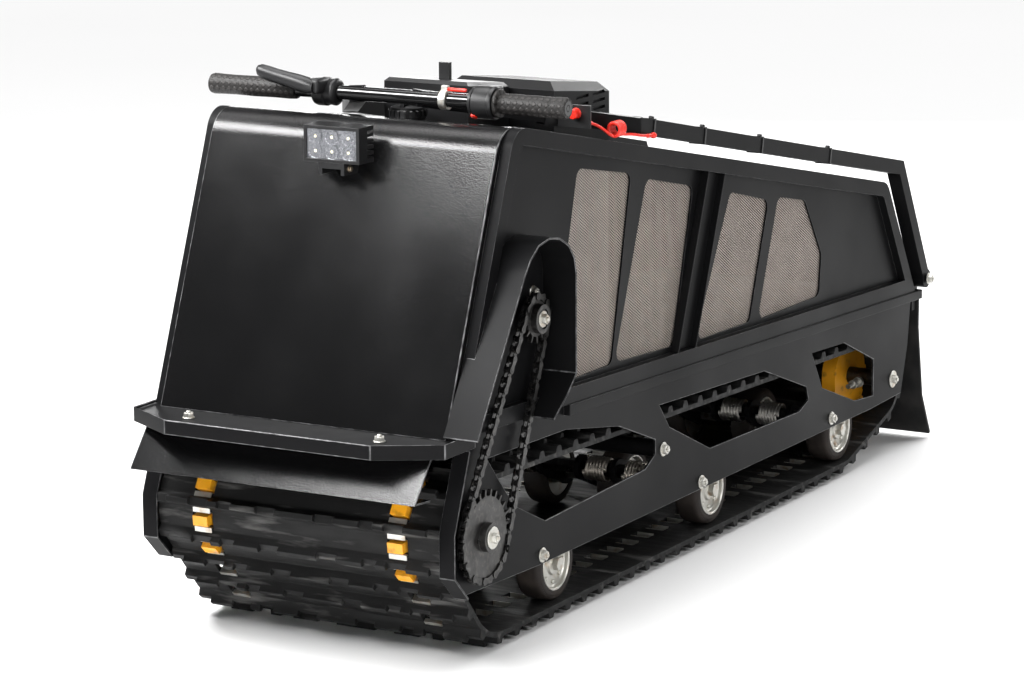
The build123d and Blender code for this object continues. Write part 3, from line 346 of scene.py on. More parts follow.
def make_finishes():
    """Every finish of the tug, by the record's slot or, for pieces that depart from it, by its own name."""
    paint = paints()
    made = {
        "panel_black": powder_coat("panel_coat", paint.panel, 0.18, 430, 0.62, 0.40),
        "frame_black": powder_coat("frame_coat", paint.frame, 0.38, 700, 0.10, 0.06),
        "cover_metal": powder_coat("cover_coat", paint.frame, 0.45, 1200, 0.18, 0.15),
        "track_rubber": track_rubber(),
        "tyre_rubber": plain_rubber("tyre_rubber", paint.tyre, 420),
        "flap": plain_rubber("flap_rubber", paint.track, 300),
        "grip_rubber": knurled_rubber(),
        "zinc": bright_zinc(),
        "spring_steel": spring_wire(),
        "engine_black": moulded_plastic(),
        "lens": lamp_silver(),
        # Expanded metal in a tan coat, duller in patches
        "mesh_metal": patchy(
            "tan_mesh", paint.mesh, metallic=0.35, sheen=(200, 3, 0.34, 0.56),
            patches=(34, 5, 0.35, 0.75, 0.5, (0.34, 0.30, 0.27, 1))),
        # Amber moulded plastic with dark smears of rubber
        "amber_plastic": patchy(
            "amber_plastic", paint.amber, sheen=(90, 3, 0.30, 0.48), grain=(700, 2, 0.15, 0.2),
            patches=(48, 6, 0.58, 0.74, 0.7, (0.11, 0.060, 0.012, 1)),
            Subsurface_Weight=0.06, Subsurface_Radius=(0.004, 0.002, 0.0005)),
        # Dark steel with oil, and bright where it rubs
        "dark_steel": patchy(
            "oiled_steel", paint.steel, metallic=1, sheen=(65, 4, 0.26, 0.52),
            grain=(900, 2, 0.1, 0.15), patches=(120, 5, 0.52, 0.72, 0.5, (0.15, 0.14, 0.13, 1))),
        # Sand-cast metal in dull grey
        "cast_block": patchy(
            "rough_casting", paint.casting, metallic=0.6, sheen=(30, 5, 0.46, 0.70),
            grain=(500, 5, 0.5, 0.5)),
        # Gloss black enamel over tube and tank
        "gloss_black": patchy(
            "gloss_enamel", paint.panel, sheen=(9, 3, 0.12, 0.22), grain=(160, 2, 0.04, 0.3),
            Coat_Weight=0.5, Coat_Roughness=0.08),
        # Bright red plastic and cord, a little darker in patches
        "red_plastic": patchy(
            "red_plastic", paint.red, sheen=(300, 2, 0.28, 0.46), grain=(1100, 2, 0.2, 0.2),
            patches=(160, 4, 0.4, 0.7, 0.45, (0.42, 0.012, 0.006, 1))),
        # Painted highlight along a broken edge: powder coat shown patchy and greyer than the paint, in place
        # of the light the edge catches
        "edge": patchy(
            "painted_edge_highlight", (0.020, 0.020, 0.021, 1), sheen=(200, 3, 0.28, 0.44),
            patches=(70, 5, 0.40, 0.66, 1, (0.15, 0.15, 0.153, 1))),
        # Pale yellow diode under a clear dome
        "diode": patchy(
            "pale_diode", (0.86, 0.84, 0.62, 1), roughness=0.18, Coat_Weight=1,
            patches=(600, 2, 0.4, 0.65, 0.5, (0.45, 0.40, 0.16, 1))),
    }
    finishes.update({slot: finish.material for slot, finish in made.items()})


# Modelling helpers

def alone(obj):
    """Makes one object the only selected and active one."""
    bpy.ops.object.select_all(action="DESELECT")
    obj.hide_set(False)
    obj.select_set(True)
    bpy.context.view_layer.objects.active = obj
    return obj


@contextlib.contextmanager
def editing(obj):
    """Edit mode on one object, with all of it selected by its vertices."""
    alone(obj)
    bpy.ops.object.mode_set(mode="EDIT")
    bpy.ops.mesh.select_mode(type="VERT")
    bpy.ops.mesh.select_all(action="SELECT")
    yield
    bpy.ops.object.mode_set(mode="OBJECT")


def started(name, add, **settings):
    """Adds a primitive with its operator, names it and puts its place in its mesh."""
    bpy.ops.object.select_all(action="DESELECT")
    add(**settings)
    obj = bpy.context.active_object
    obj.name = obj.data.name = name
    alone(obj)
    bpy.ops.object.transform_apply(location=True, rotation=True, scale=True)
    return obj


def pick(obj, test):
    """Selects, in edit mode, the faces whose middle and normal pass a test."""
    bpy.ops.mesh.select_mode(type="FACE")
    bpy.ops.mesh.select_all(action="DESELECT")
    mesh = bmesh.from_edit_mesh(obj.data)
    for face in mesh.faces:
        if test(face.calc_center_median(), face.normal):
            face.select_set(True)
    mesh.select_flush_mode()
    bmesh.update_edit_mesh(obj.data)


def extruded(*way):
    """Extrudes what is selected along a way in millimetres."""
    bpy.ops.mesh.extrude_region_move(TRANSFORM_OT_translate={"value": Vector(way) * MM})


def bevelled(width, segments):
    """Rounds all edges of the mesh in edit mode, by a width in millimetres."""
    bpy.ops.mesh.select_all(action="SELECT")
    bpy.ops.mesh.bevel(offset=width * MM, segments=segments, affect="EDGES")


def modifier(obj, kind, **settings):
    """Adds one modifier with its settings."""
    made = obj.modifiers.new(kind.lower(), kind)
    for name, value in settings.items():
        setattr(made, name, value)
    return made


def modify(obj, kind, **settings):
    """Adds one modifier and applies it."""
    alone(obj)
    bpy.ops.object.modifier_apply(modifier=modifier(obj, kind, **settings).name)
    return obj


def repeated(obj, times, step, **settings):
    """Repeats a mesh by a step in metres."""
    return modify(obj, "ARRAY", count=times, use_relative_offset=False, use_constant_offset=True,
                  constant_offset_displace=step, **settings)


def clean(obj, merge=0.02):
    """Merges doubles that are nearer than that, in millimetres, and turns all faces outwards."""
    with editing(obj):
        bpy.ops.mesh.remove_doubles(threshold=merge * MM)
        bpy.ops.mesh.normals_make_consistent(inside=False)
    return obj


def rounded(obj, angle=35):
    """Shades the soft edges smooth."""
    alone(obj)
    bpy.ops.object.shade_smooth_by_angle(angle=math.radians(angle))
    return obj


def traced(points):
    """Makes the mesh in edit mode one line of edges through (x, z) points in millimetres."""
    bpy.ops.mesh.merge(type="CENTER")
    corners = [Vector((x * MM, 0, z * MM)) for x, z in points]
    bpy.ops.transform.translate(value=corners[0])
    for here, ahead in zip(corners, corners[1:]):
        bpy.ops.mesh.extrude_region_move(TRANSFORM_OT_translate={"value": ahead - here})
    bpy.ops.mesh.select_all(action="SELECT")


def turned(name, profile, steps=24):
    """A turned piece about the z axis, from a line of (radius, height) points in millimetres."""
    obj = started(name, bpy.ops.mesh.primitive_plane_add, size=MM)
    with editing(obj):
        traced(profile)
        bpy.ops.mesh.spin(steps=steps, angle=math.tau, center=(0, 0, 0), axis=(0, 0, 1))
    return clean(obj)


def outlined(name, points, depth):
    """A plate with an outline of (x, z) points in millimetres, carried along y by its depth."""
    obj = started(name, bpy.ops.mesh.primitive_plane_add, size=MM)
    with editing(obj):
        traced(points)
        bpy.ops.mesh.edge_face_add()
        extruded(0, depth, 0)
    return clean(obj)


def block(name, size):
    """A box about the origin, of a size in millimetres."""
    obj = started(name, bpy.ops.mesh.primitive_cube_add, size=1)
    with editing(obj):
        bpy.ops.transform.resize(value=Vector(size) * MM)
    return obj


def pebble(name, size, bevel, segments):
    """A box about the origin with rounded edges."""
    obj = block(name, size)
    with editing(obj):
        bevelled(bevel, segments)
    return obj


def hoop(name, size, wall):
    """A box about the origin that is open along x, with walls of a thickness."""
    obj = block(name, size)
    with editing(obj):
        pick(obj, lambda middle, normal: abs(normal.x) > 0.9)
        bpy.ops.mesh.inset(thickness=wall * MM)
        bpy.ops.mesh.bridge_edge_loops()
    return obj


def at(*place):
    """A matrix that moves to a place in millimetres."""
    return Matrix.Translation(Vector(place) * MM)


def facing(way, place):
    """A matrix that turns the z axis along a way and moves to a place in millimetres."""
    return at(*place) @ Vector((0, 0, 1)).rotation_difference(Vector(way)).to_matrix().to_4x4()


def seated(obj, matrix):
    """Moves a finished shape's mesh to its place."""
    obj.data.transform(matrix)
    return obj


def on_bar(obj, y, side=1):
    """Moves a turned shape onto the handlebar, with its z axis to one side."""
    return seated(obj, facing((0, side, 0), (BAR_X, y, BAR_Z)))


def placed(obj, matrix):
    """A copy of a finished shape with its own mesh, put at a place."""
    twin = obj.copy()
    twin.data = obj.data.copy()
    bpy.context.scene.collection.objects.link(twin)
    return seated(twin, matrix)


def copies(pattern, seats):
    """Copies of a shape at all its seats, in place of the shape."""
    made = [placed(pattern, seat) for seat in seats]
    bpy.ops.object.select_all(action="DESELECT")
    pattern.select_set(True)
    bpy.ops.object.delete()
    return made


def joined(objs, name):
    """Several meshes made one."""
    bpy.ops.object.select_all(action="DESELECT")
    for obj in objs:
        obj.select_set(True)
    bpy.context.view_layer.objects.active = objs[0]
    if len(objs) > 1:
        bpy.ops.object.join()
    made = bpy.context.active_object
    made.name = made.data.name = name
    return made


def dressed(obj, slot, body="chassis", finish=None):
    """Gives a piece its finish and lets it ride on its body."""
    obj.data.materials.clear()
    obj.data.materials.append(finishes[finish or slot])
    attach(obj, body)
    return obj


# Solids

# Widths of the broken edges of sheet and tube, in millimetres
BROKEN_EDGES = {
    "hood_front": 1.6, "front_bumper": 1.4, "front_visor": 1.1, "side_plate_left": 1, "side_plate_right": 1,
    "body_side_left": 1.5, "body_side_right": 1.5, "sill_rails": 1.5, "nose_guards": 1, "pillars": 0.9,
    "chain_guard": 1, "deck_rear": 0.6, "deck_rails": 0.8, "rear_wall": 0.6, "tiller_arm_left": 2.2,
    "tiller_arm_right": 2.2, "tiller_brackets": 0.8, "hitch_plate": 1, "tail_beam": 1.2, "mud_flap": 1,
    "muffler_shield": 1.6, "air_filter_box": 2, "fuel_tank": 4, "lamp_body": 0.9, "lamp_bracket": 0.7,
    "drive_sprockets": 1.5, "idler_wheels": 1.5, "trailing_arms": 0.8, "sprocket_large": 0.4,
    "sprocket_small": 0.4, "engine_block": 4,
}
# Edges sharper than this are broken, in degrees, after points nearer than that are made one, in millimetres
EDGE_ANGLE = 28
WELD_REACH = 0.01
# Solids with another finish than the rest of their slot
OWN_FINISH = {"front_bumper": "frame_black", "mud_flap": "flap"}
# Solids whose broken edges get a painted highlight: a patchy grey line in place of the light the edges catch
PAINTED_EDGE_HIGHLIGHT = (
    "hood_front", "front_bumper", "front_visor", "side_plate_left", "side_plate_right", "body_side_left",
    "body_side_right", "nose_guards", "chain_guard", "deck_rails", "muffler_shield")


class TUG_OT_solids(bpy.types.Operator):
    """Finishes on every solid, with softly broken edges"""
    bl_idname = "tug.solids"
    bl_label = "Solids"

    def execute(self, context):
        make_finishes()
        slot_of = {row["node"]: row["material_slot"] for row in frame["record"]["subparts"]}
        for name, obj in frame["nodes"].items():
            obj.data.materials.clear()
            obj.data.materials.append(finishes[OWN_FINISH.get(name, slot_of[name])])
            if name in BROKEN_EDGES:
                modifier(obj, "WELD", merge_threshold=WELD_REACH * MM)
                edge = modifier(obj, "BEVEL", width=BROKEN_EDGES[name] * MM, segments=2, limit_method="ANGLE",
                                angle_limit=math.radians(EDGE_ANGLE))
                modifier(obj, "WEIGHTED_NORMAL", mode="FACE_AREA", weight=100)
                # The bevel's faces take the painted edge highlight
                if name in PAINTED_EDGE_HIGHLIGHT:
                    obj.data.materials.append(finishes["edge"])
                    edge.material = 1
        return {"FINISHED"}


# Lanyard of red cord: its lead, the coil's middle and its tail, in millimetres
LEAD = ((395, 242.8, 750.6), (383, 242.8, 750.6), (370, 253, 742), (360, 260, 732))
COIL_MIDDLE = (338, 262, 737)
COIL_RADIUS = 10.6
COIL_TURNS = 5
TURN_POINTS = 14
# Pitch of the coil, in radii of the cord
COIL_PITCH = 2.06
TAIL = ((323, 262, 726.6), (312, 264.5, 725), (299, 269, 724), (276, 276, 718.5), (246, 280, 716))
# Sleeve on the cord as (radius past the cord's, height), end knot as (radius, height), their ways and places
SLEEVE = ((0.5, -5), (1, -4.2), (0.6, -3), (1, -1.8), (0.6, -0.6), (1, 0.6), (0.6, 1.8), (1, 3), (0.5, 4.2))
KNOT = ((0, -5), (3, -4.4), (4.6, -2.4), (4.2, -0.6), (5, 1), (4.4, 3.4), (2.6, 4.8), (0, 5))
TAIL_WAY = (-0.98, 0.13, -0.08)
SLEEVE_SEATS = (((-1, 0, 0), (388, 242.8, 750.6)), (TAIL_WAY, (262, 277.9, 717.3)))
KNOT_PLACE = (250, 279.4, 716.4)


class TUG_OT_lanyard(bpy.types.Operator):
    """Red lanyard of the stop switch, with its wound coil, bindings and end knot"""
    bl_idname = "tug.lanyard"
    bl_label = "Lanyard"

    def execute(self, context):
        size = sizes()
        thick = size.cord / MM
        points = list(LEAD)
        for index in range(COIL_TURNS * TURN_POINTS + 1):
            share = index / TURN_POINTS
            angle = math.tau * share - math.pi / 2
            x = COIL_MIDDLE[0] + COIL_PITCH * thick * (COIL_TURNS / 2 - share)
            y = COIL_MIDDLE[1] + COIL_RADIUS * math.cos(angle)
            points.append((x, y, COIL_MIDDLE[2] + COIL_RADIUS * math.sin(angle)))
        points += TAIL
        curve = bpy.data.curves.new("lanyard_cord", "CURVE")
        curve.dimensions = "3D"
        spline = curve.splines.new("NURBS")
        spline.points.add(len(points) - 1)
        for place, point in zip(spline.points, points):
            place.co = (*(value * MM for value in point), 1)
        spline.order_u = 3
        spline.use_endpoint_u = True
        spline.resolution_u = 4
        curve.bevel_depth = size.cord
        curve.bevel_resolution = 3
        curve.use_fill_caps = True
        cord = bpy.data.objects.new("lanyard_cord", curve)
        context.scene.collection.objects.link(cord)
        dressed(cord, "red_plastic", "tiller")
        ribs = [(thick + past, height) for past, height in SLEEVE]
        sleeve = turned("sleeve", [(0, SLEEVE[0][1]), *ribs, (0, SLEEVE[-1][1])], 16)
        knot = seated(turned("knot", KNOT, 16), facing(TAIL_WAY, KNOT_PLACE))
        ends = [*copies(sleeve, [facing(way, place) for way, place in SLEEVE_SEATS]), knot]
        whipping = dressed(rounded(joined(ends, "lanyard_bindings"), 60), "red_plastic", "tiller")
        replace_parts(cord, "lanyard_lead", "lanyard_coil", "lanyard_tail")
        return {"FINISHED"}


# Mesh behind the windows: corners of each window as (x, z) in millimetres
WINDOWS = (
    ((444, 690), (269, 658), (334, 368), (530, 368)),
    ((218, 642), (55, 607), (124, 358), (325, 368)),
    ((-80, 578), (-226, 543), (-155, 348), (46, 352)),
    ((-262, 543), (-368, 522), (-438, 418), (-430, 346), (-186, 346)),
)
# How far the cut mesh and the uncut field of cells reach past a window, and how deep a strand is dished
MESH_MARGIN = 6
FIELD_MARGIN = 12
STRAND_DISH = 0.5


def mesh_window(corners):
    """Expanded metal cut to a window, on the left side."""
    size = sizes()
    xs, zs = zip(*corners)
    low_x, high_x = min(xs) - FIELD_MARGIN, max(xs) + FIELD_MARGIN
    low_z, high_z = min(zs) - FIELD_MARGIN, max(zs) + FIELD_MARGIN
    depth = sum(corner.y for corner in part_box("mesh_left")) / 2
    cell = started("mesh_cell", bpy.ops.mesh.primitive_circle_add, vertices=4, radius=0.5, fill_type="NGON",
                   rotation=(-math.pi / 2, 0, 0))
    with editing(cell):
        bpy.ops.transform.resize(value=(size.cell_long, 1, size.cell_short))
        bpy.ops.mesh.inset(thickness=size.strand, depth=-STRAND_DISH * MM)
        bpy.ops.mesh.delete(type="FACE")
        bpy.ops.mesh.select_all(action="SELECT")
        bpy.ops.mesh.duplicate_move(
            TRANSFORM_OT_translate={"value": (size.cell_long / 2, 0, size.cell_short / 2)})
        bpy.ops.mesh.select_all(action="SELECT")
        bpy.ops.transform.translate(value=(low_x * MM, depth, low_z * MM))
    repeated(cell, math.ceil((high_x - low_x) * MM / size.cell_long), (size.cell_long, 0, 0))
    repeated(cell, math.ceil((high_z - low_z) * MM / size.cell_short), (0, 0, size.cell_short))
    middle = Vector((sum(xs), 0, sum(zs))) / len(corners)
    with editing(cell):
        bpy.ops.mesh.remove_doubles(threshold=SEAM_REACH * MM)
        for (x0, z0), (x1, z1) in zip(corners, corners[1:] + corners[:1]):
            out = Vector((z1 - z0, 0, x0 - x1)).normalized()
            if out.dot(Vector((x0, 0, z0)) - middle) < 0:
                out = -out
            edge = (Vector((x0, 0, z0)) + out * MESH_MARGIN) * MM
            bpy.ops.mesh.select_all(action="SELECT")
            bpy.ops.mesh.bisect(plane_co=edge, plane_no=out, clear_outer=True, use_fill=False)
    return cell


class TUG_OT_mesh(bpy.types.Operator):
    """Expanded metal behind the windows of both side walls"""
    bl_idname = "tug.mesh"
    bl_label = "Mesh"

    def execute(self, context):
        left = joined([mesh_window(corners) for corners in WINDOWS], "mesh_sheet_left")
        right = joined([placed(left, Matrix.Scale(-1, 4, (0, 1, 0)))], "mesh_sheet_right")
        right.data.flip_normals()
        for obj, node in ((left, "mesh_left"), (right, "mesh_right")):
            dressed(obj, "mesh_metal")
            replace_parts(obj, node)
        return {"FINISHED"}


# Rollers: places of the axles, rows across, and the profiles of tyre, rim and rim bolt as (radius, height)
ROLLER_X = (489, -46, -553)
ROLLER_Z = 84
ROLLER_ROWS = (-216, -70, 70, 216)
ROLLER_STEPS = 40
# Half of the tyre's even section, from its inner edge to the middle of its tread
TYRE_HALF = (
    (43, -21.6), (47, -22), (51, -21.2), (51.8, -20.4), (52.6, -21), (55.2, -19.6), (56.9, -16.8),
    (57.6, -12))
TREAD_MIDDLE = (57.7, 0)
RIM_PROFILE = (
    (0, -20), (41, -20), (42.6, -18), (42.6, 20), (41.6, 21.9), (39.6, 21.9), (38.4, 20.6), (37.4, 15.6),
    (35.6, 13.8), (24, 13.2), (19, 14.6), (17, 18.4), (13.6, 19.4), (0, 19.4))
STUD_PROFILE = ((0, 12.6), (3.6, 12.6), (3.6, 15.6), (2.9, 16.6), (0, 16.6))
RIM_BOLT_RING = 29.5
RIM_BOLTS = 8


class TUG_OT_rollers(bpy.types.Operator):
    """Round rubber tyres and pressed rims with their ring of bolts"""
    bl_idname = "tug.rollers"
    bl_label = "Rollers"

    def execute(self, context):
        other_half = [(radius, -height) for radius, height in reversed(TYRE_HALF)]
        section = (*TYRE_HALF, TREAD_MIDDLE, *other_half, TYRE_HALF[0])
        tyre = rounded(turned("tyre", section, ROLLER_STEPS), 40)
        rim = rounded(turned("rim", RIM_PROFILE, ROLLER_STEPS), 30)
        angles = [math.tau * index / RIM_BOLTS for index in range(RIM_BOLTS)]
        ring = [at(RIM_BOLT_RING * math.cos(angle), RIM_BOLT_RING * math.sin(angle), 0) for angle in angles]
        rim = joined([rim, *copies(turned("stud", STUD_PROFILE, 6), ring)], "rim")
        seats = [facing((0, math.copysign(1, y), 0), (x, y, ROLLER_Z)) for x in ROLLER_X for y in ROLLER_ROWS]
        rubber = dressed(joined(copies(tyre, seats), "round_tyres"), "tyre_rubber")
        metal = dressed(joined(copies(rim, seats), "pressed_rims"), "zinc")
        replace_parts(rubber, "roller_tyres")
        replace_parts(metal, "roller_rims")
        return {"FINISHED"}


# Torsion springs: places of the pivots as (x, z), rows across and the wound body
SPRING_PIVOTS = ((571, 118), (36, 118), (-471, 118))
SPRING_ROWS = (-143, -70, 70, 143)
SPRING_LENGTH = 46
SPRING_RADIUS = 21
WIRE_SIDES = 8
COIL_STEPS = 20


class TUG_OT_springs(bpy.types.Operator):
    """Wound torsion springs on the pivot shafts"""
    bl_idname = "tug.springs"
    bl_label = "Springs"

    def execute(self, context):
        size = sizes()
        wire = size.wire / MM
        pitch = (SPRING_LENGTH - 2 * wire) / size.coils
        coil = started("coil", bpy.ops.mesh.primitive_circle_add, vertices=WIRE_SIDES, radius=size.wire,
                       fill_type="NOTHING", rotation=(math.pi / 2, 0, 0),
                       location=((SPRING_RADIUS - wire) * MM, 0, (wire - SPRING_LENGTH / 2) * MM))
        modify(coil, "SCREW", axis="Z", angle=math.tau, iterations=size.coils, screw_offset=pitch * MM,
               steps=COIL_STEPS, render_steps=COIL_STEPS, use_smooth_shade=True)
        with editing(coil):
            bpy.ops.mesh.select_mode(type="EDGE")
            bpy.ops.mesh.select_all(action="DESELECT")
            bpy.ops.mesh.select_non_manifold()
            bpy.ops.mesh.fill()
        seats = [facing((0, 1, 0), (x, y, z)) for x, z in SPRING_PIVOTS for y in SPRING_ROWS]
        springs = dressed(joined(copies(clean(coil), seats), "wound_springs"), "spring_steel")
        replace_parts(springs, "torsion_springs")
        return {"FINISHED"}


# Roller chain: its two wheels as (x, z, teeth), pitch and middle plane
CHAIN_PITCH = 15.875
CHAIN_Y = 271
LARGE_WHEEL = (768, 194, 26)
SMALL_WHEEL = (612, 491.01, 13)
# Link plates: half height at the pins, distance from the middle plane; their thickness and the waist's share
INNER_PLATE = (6.3, 3.2)
OUTER_PLATE = (6, 5)
PLATE_THICK = 1.6
PLATE_WAIST = 0.66
# Angles of the points round a plate's end, in degrees
PLATE_ANGLES = range(-75, 76, 25)
CHAIN_ROLLER = ((0, -4), (4.6, -4), (4.6, 4), (0, 4))
CHAIN_RIVET = ((0, -6), (2.4, -6), (2.4, 5.6), (1.8, 6), (0, 6))


def chain_pins():
    """Places of the chain's pins, round both wheels and along the runs between."""
    (x0, z0, large), (x1, z1, small) = LARGE_WHEEL, SMALL_WHEEL
    radii = [CHAIN_PITCH / (2 * math.sin(math.pi / teeth)) for teeth in (large, small)]
    middle = math.atan2(z1 - z0, x1 - x0)
    tilt = math.acos((radii[0] - radii[1]) / math.hypot(x1 - x0, z1 - z0))
    wraps = (
        (x0, z0, radii[0], large, middle + tilt, middle - tilt + math.tau),
        (x1, z1, radii[1], small, middle - tilt, middle + tilt))
    on_wheels = []
    for x, z, radius, teeth, first, last in wraps:
        step = math.tau / teeth
        steps = int((last - first) / step)
        start = (first + last - steps * step) / 2
        for index in range(steps + 1):
            angle = start + index * step
            on_wheels.append(Vector((x + radius * math.cos(angle), z + radius * math.sin(angle))))
    pins = []
    for here, ahead in zip(on_wheels, on_wheels[1:] + on_wheels[:1]):
        links = max(1, round((ahead - here).length / CHAIN_PITCH))
        pins += [here.lerp(ahead, index / links) for index in range(links)]
    return pins


def link_plate(half):
    """A waisted link plate round two pins a pitch apart, in the plane of x and z."""
    points = []
    for side in (1, -1):
        for angle in map(math.radians, PLATE_ANGLES):
            points.append((side * (CHAIN_PITCH / 2 + half * math.cos(angle)), side * half * math.sin(angle)))
        points.append((0, side * half * PLATE_WAIST))
    return outlined("plate", points, PLATE_THICK)


class TUG_OT_chain(bpy.types.Operator):
    """Roller chain of waisted plates, rollers and riveted pins"""
    bl_idname = "tug.chain"
    bl_label = "Chain"

    def execute(self, context):
        pins = chain_pins()
        seats = {OUTER_PLATE: [], INNER_PLATE: []}
        for index, (here, ahead) in enumerate(zip(pins, pins[1:] + pins[:1])):
            way = ahead - here
            middle = (here + ahead) / 2
            turn = Matrix.Rotation(-math.atan2(way.y, way.x), 4, "Y")
            reach = Matrix.Diagonal((way.length / CHAIN_PITCH, 1, 1, 1))
            plate = INNER_PLATE if index % 2 else OUTER_PLATE
            for side in (1, -1):
                low = CHAIN_Y + side * plate[1] - PLATE_THICK / 2
                seats[plate].append(at(middle.x, low, middle.y) @ turn @ reach)
        made = []
        for plate, spots in seats.items():
            made += copies(link_plate(plate[0]), spots)
        on_pins = [facing((0, 1, 0), (pin.x, CHAIN_Y, pin.y)) for pin in pins]
        made += copies(turned("roller", CHAIN_ROLLER, 10), on_pins)
        made += copies(turned("rivet", CHAIN_RIVET, 8), on_pins)
        chain = dressed(rounded(joined(made, "roller_chain")), "dark_steel")
        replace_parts(chain, "drive_chain")
        return {"FINISHED"}


# Track: rounds of its slack outer line as (x, z, radius), in the way it runs from the rear roller's foot
LOOP_ROUNDS = ((-553, 84, 66), (676, 118, 100), (768, 194, 78), (-715, 146, 78))
LUG_COUNT = 66
LUG_PHASE = 0.306
# One pitch of the belt: its widths, its window and its lug, in millimetres
BELT_HALF = 249.6
BELT_THICK = 8
WINDOW_Y = 170
WINDOW_WIDE = 34
WINDOW_LONG = 24
LUG_BASE = 20
LUG_FOOT = 4
LUG_HEIGHT = 17.9
LUG_LOW = 10
# Shares of its base that a lug keeps at its low top and at a paddle's top
LOW_TAPER = 0.55
PADDLE_TAPER = 0.62
# Half of the strip cut between two pitches, so that the belt bends there
SEAM_HALF = 5
# Bevel of the track's edges that are sharper than an angle in degrees
TRACK_BEVEL = 0.9
TRACK_ANGLE = 50
# Tall paddles of a lug as (first y, last y), the same on both sides
PADDLES = ((0, 34), (68, 112), (136, 153), (187, 226))
# Clips on the edges of a window, as (along the belt, outward), their width and distance from its middle
CLIP_PROFILE = (
    (-6.6, -9), (-5.6, -9), (-5.6, 0.5), (4.4, 0.5), (6, 3.4), (5.4, 4.2), (3.6, 1.8), (-6.6, 1.8))
CLIP_WIDE = 30
CLIP_ASIDE = 18.2


def loop_spots(shares):
    """Places and outward ways on the track's outer line, at shares of its length, and that length."""
    normals = []
    for (x0, z0, r0), (x1, z1, r1) in zip(LOOP_ROUNDS, LOOP_ROUNDS[1:] + LOOP_ROUNDS[:1]):
        run = math.hypot(x1 - x0, z1 - z0)
        normals.append(math.atan2(z1 - z0, x1 - x0) - math.acos((r0 - r1) / run))
    pieces = []
    for index, (x, z, radius) in enumerate(LOOP_ROUNDS):
        after = LOOP_ROUNDS[(index + 1) % len(LOOP_ROUNDS)]
        normal = normals[index]
        out = Vector((math.cos(normal), math.sin(normal)))
        start = Vector((x, z)) + out * radius
        end = Vector(after[:2]) + out * after[2]
        pieces.append(("run", start, end, normal, (end - start).length))
        turn = (normals[(index + 1) % len(LOOP_ROUNDS)] - normal) % math.tau
        pieces.append(("bend", Vector(after[:2]), after[2], normal, turn * after[2]))
    whole = sum(piece[4] for piece in pieces)
    spots = []
    for share in shares:
        left = share * whole
        for kind, first, second, normal, span in pieces:
            if left <= span:
                break
            left -= span
        if kind == "run":
            spots.append((first.lerp(second, left / span), normal))
        else:
            angle = normal + left / second
            spots.append((first + Vector((math.cos(angle), math.sin(angle))) * second, angle))
    return spots, whole


def belt_pitch(pitch):
    """One flat pitch of the belt, with its windows at both ends and its lug in the middle."""
    belt = started("track_loop", bpy.ops.mesh.primitive_plane_add, size=1)
    half, near, wide = LUG_BASE / 2, pitch / 2 - WINDOW_LONG / 2, WINDOW_WIDE / 2
    edges_y = sorted({0, WINDOW_Y - wide, WINDOW_Y + wide, *(y for pair in PADDLES for y in pair)})
    cuts = [((0, y * side * MM, 0), (0, 1, 0)) for y in edges_y for side in (1, -1)]
    for x in (half, half + LUG_FOOT, near, pitch / 2 - SEAM_HALF):
        cuts += [((x * side * MM, 0, 0), (1, 0, 0)) for side in (1, -1)]

    def window(middle, normal):
        return abs(middle.x) > near * MM and abs(abs(middle.y) - WINDOW_Y * MM) < wide * MM

    def lug(middle, normal):
        return normal.z > 0.9 and middle.z > -0.1 * MM and abs(middle.x) < half * MM

    def paddle(middle, normal):
        across = any(low < abs(middle.y) / MM < high for low, high in PADDLES)
        return normal.z > 0.9 and middle.z > 0.9 * LUG_LOW * MM and across

    def open_end(middle, normal):
        return abs(normal.x) > 0.99 and abs(middle.x) > (pitch / 2 - 0.1) * MM

    with editing(belt):
        bpy.ops.transform.resize(value=(pitch * MM, 2 * BELT_HALF * MM, 1))
        for place, way in cuts:
            bpy.ops.mesh.select_all(action="SELECT")
            bpy.ops.mesh.bisect(plane_co=place, plane_no=way)
        pick(belt, window)
        bpy.ops.mesh.delete(type="FACE")
        bpy.ops.mesh.select_all(action="SELECT")
        extruded(0, 0, -BELT_THICK)
        bpy.ops.mesh.select_all(action="SELECT")
        bpy.ops.mesh.normals_make_consistent(inside=False)
        for chosen, rise, taper in ((lug, LUG_LOW, LOW_TAPER), (paddle, LUG_HEIGHT - LUG_LOW, PADDLE_TAPER)):
            pick(belt, chosen)
            extruded(0, 0, rise)
            bpy.ops.transform.resize(value=(taper, 1, 1))
        pick(belt, open_end)
        bpy.ops.mesh.delete(type="FACE")
    return belt


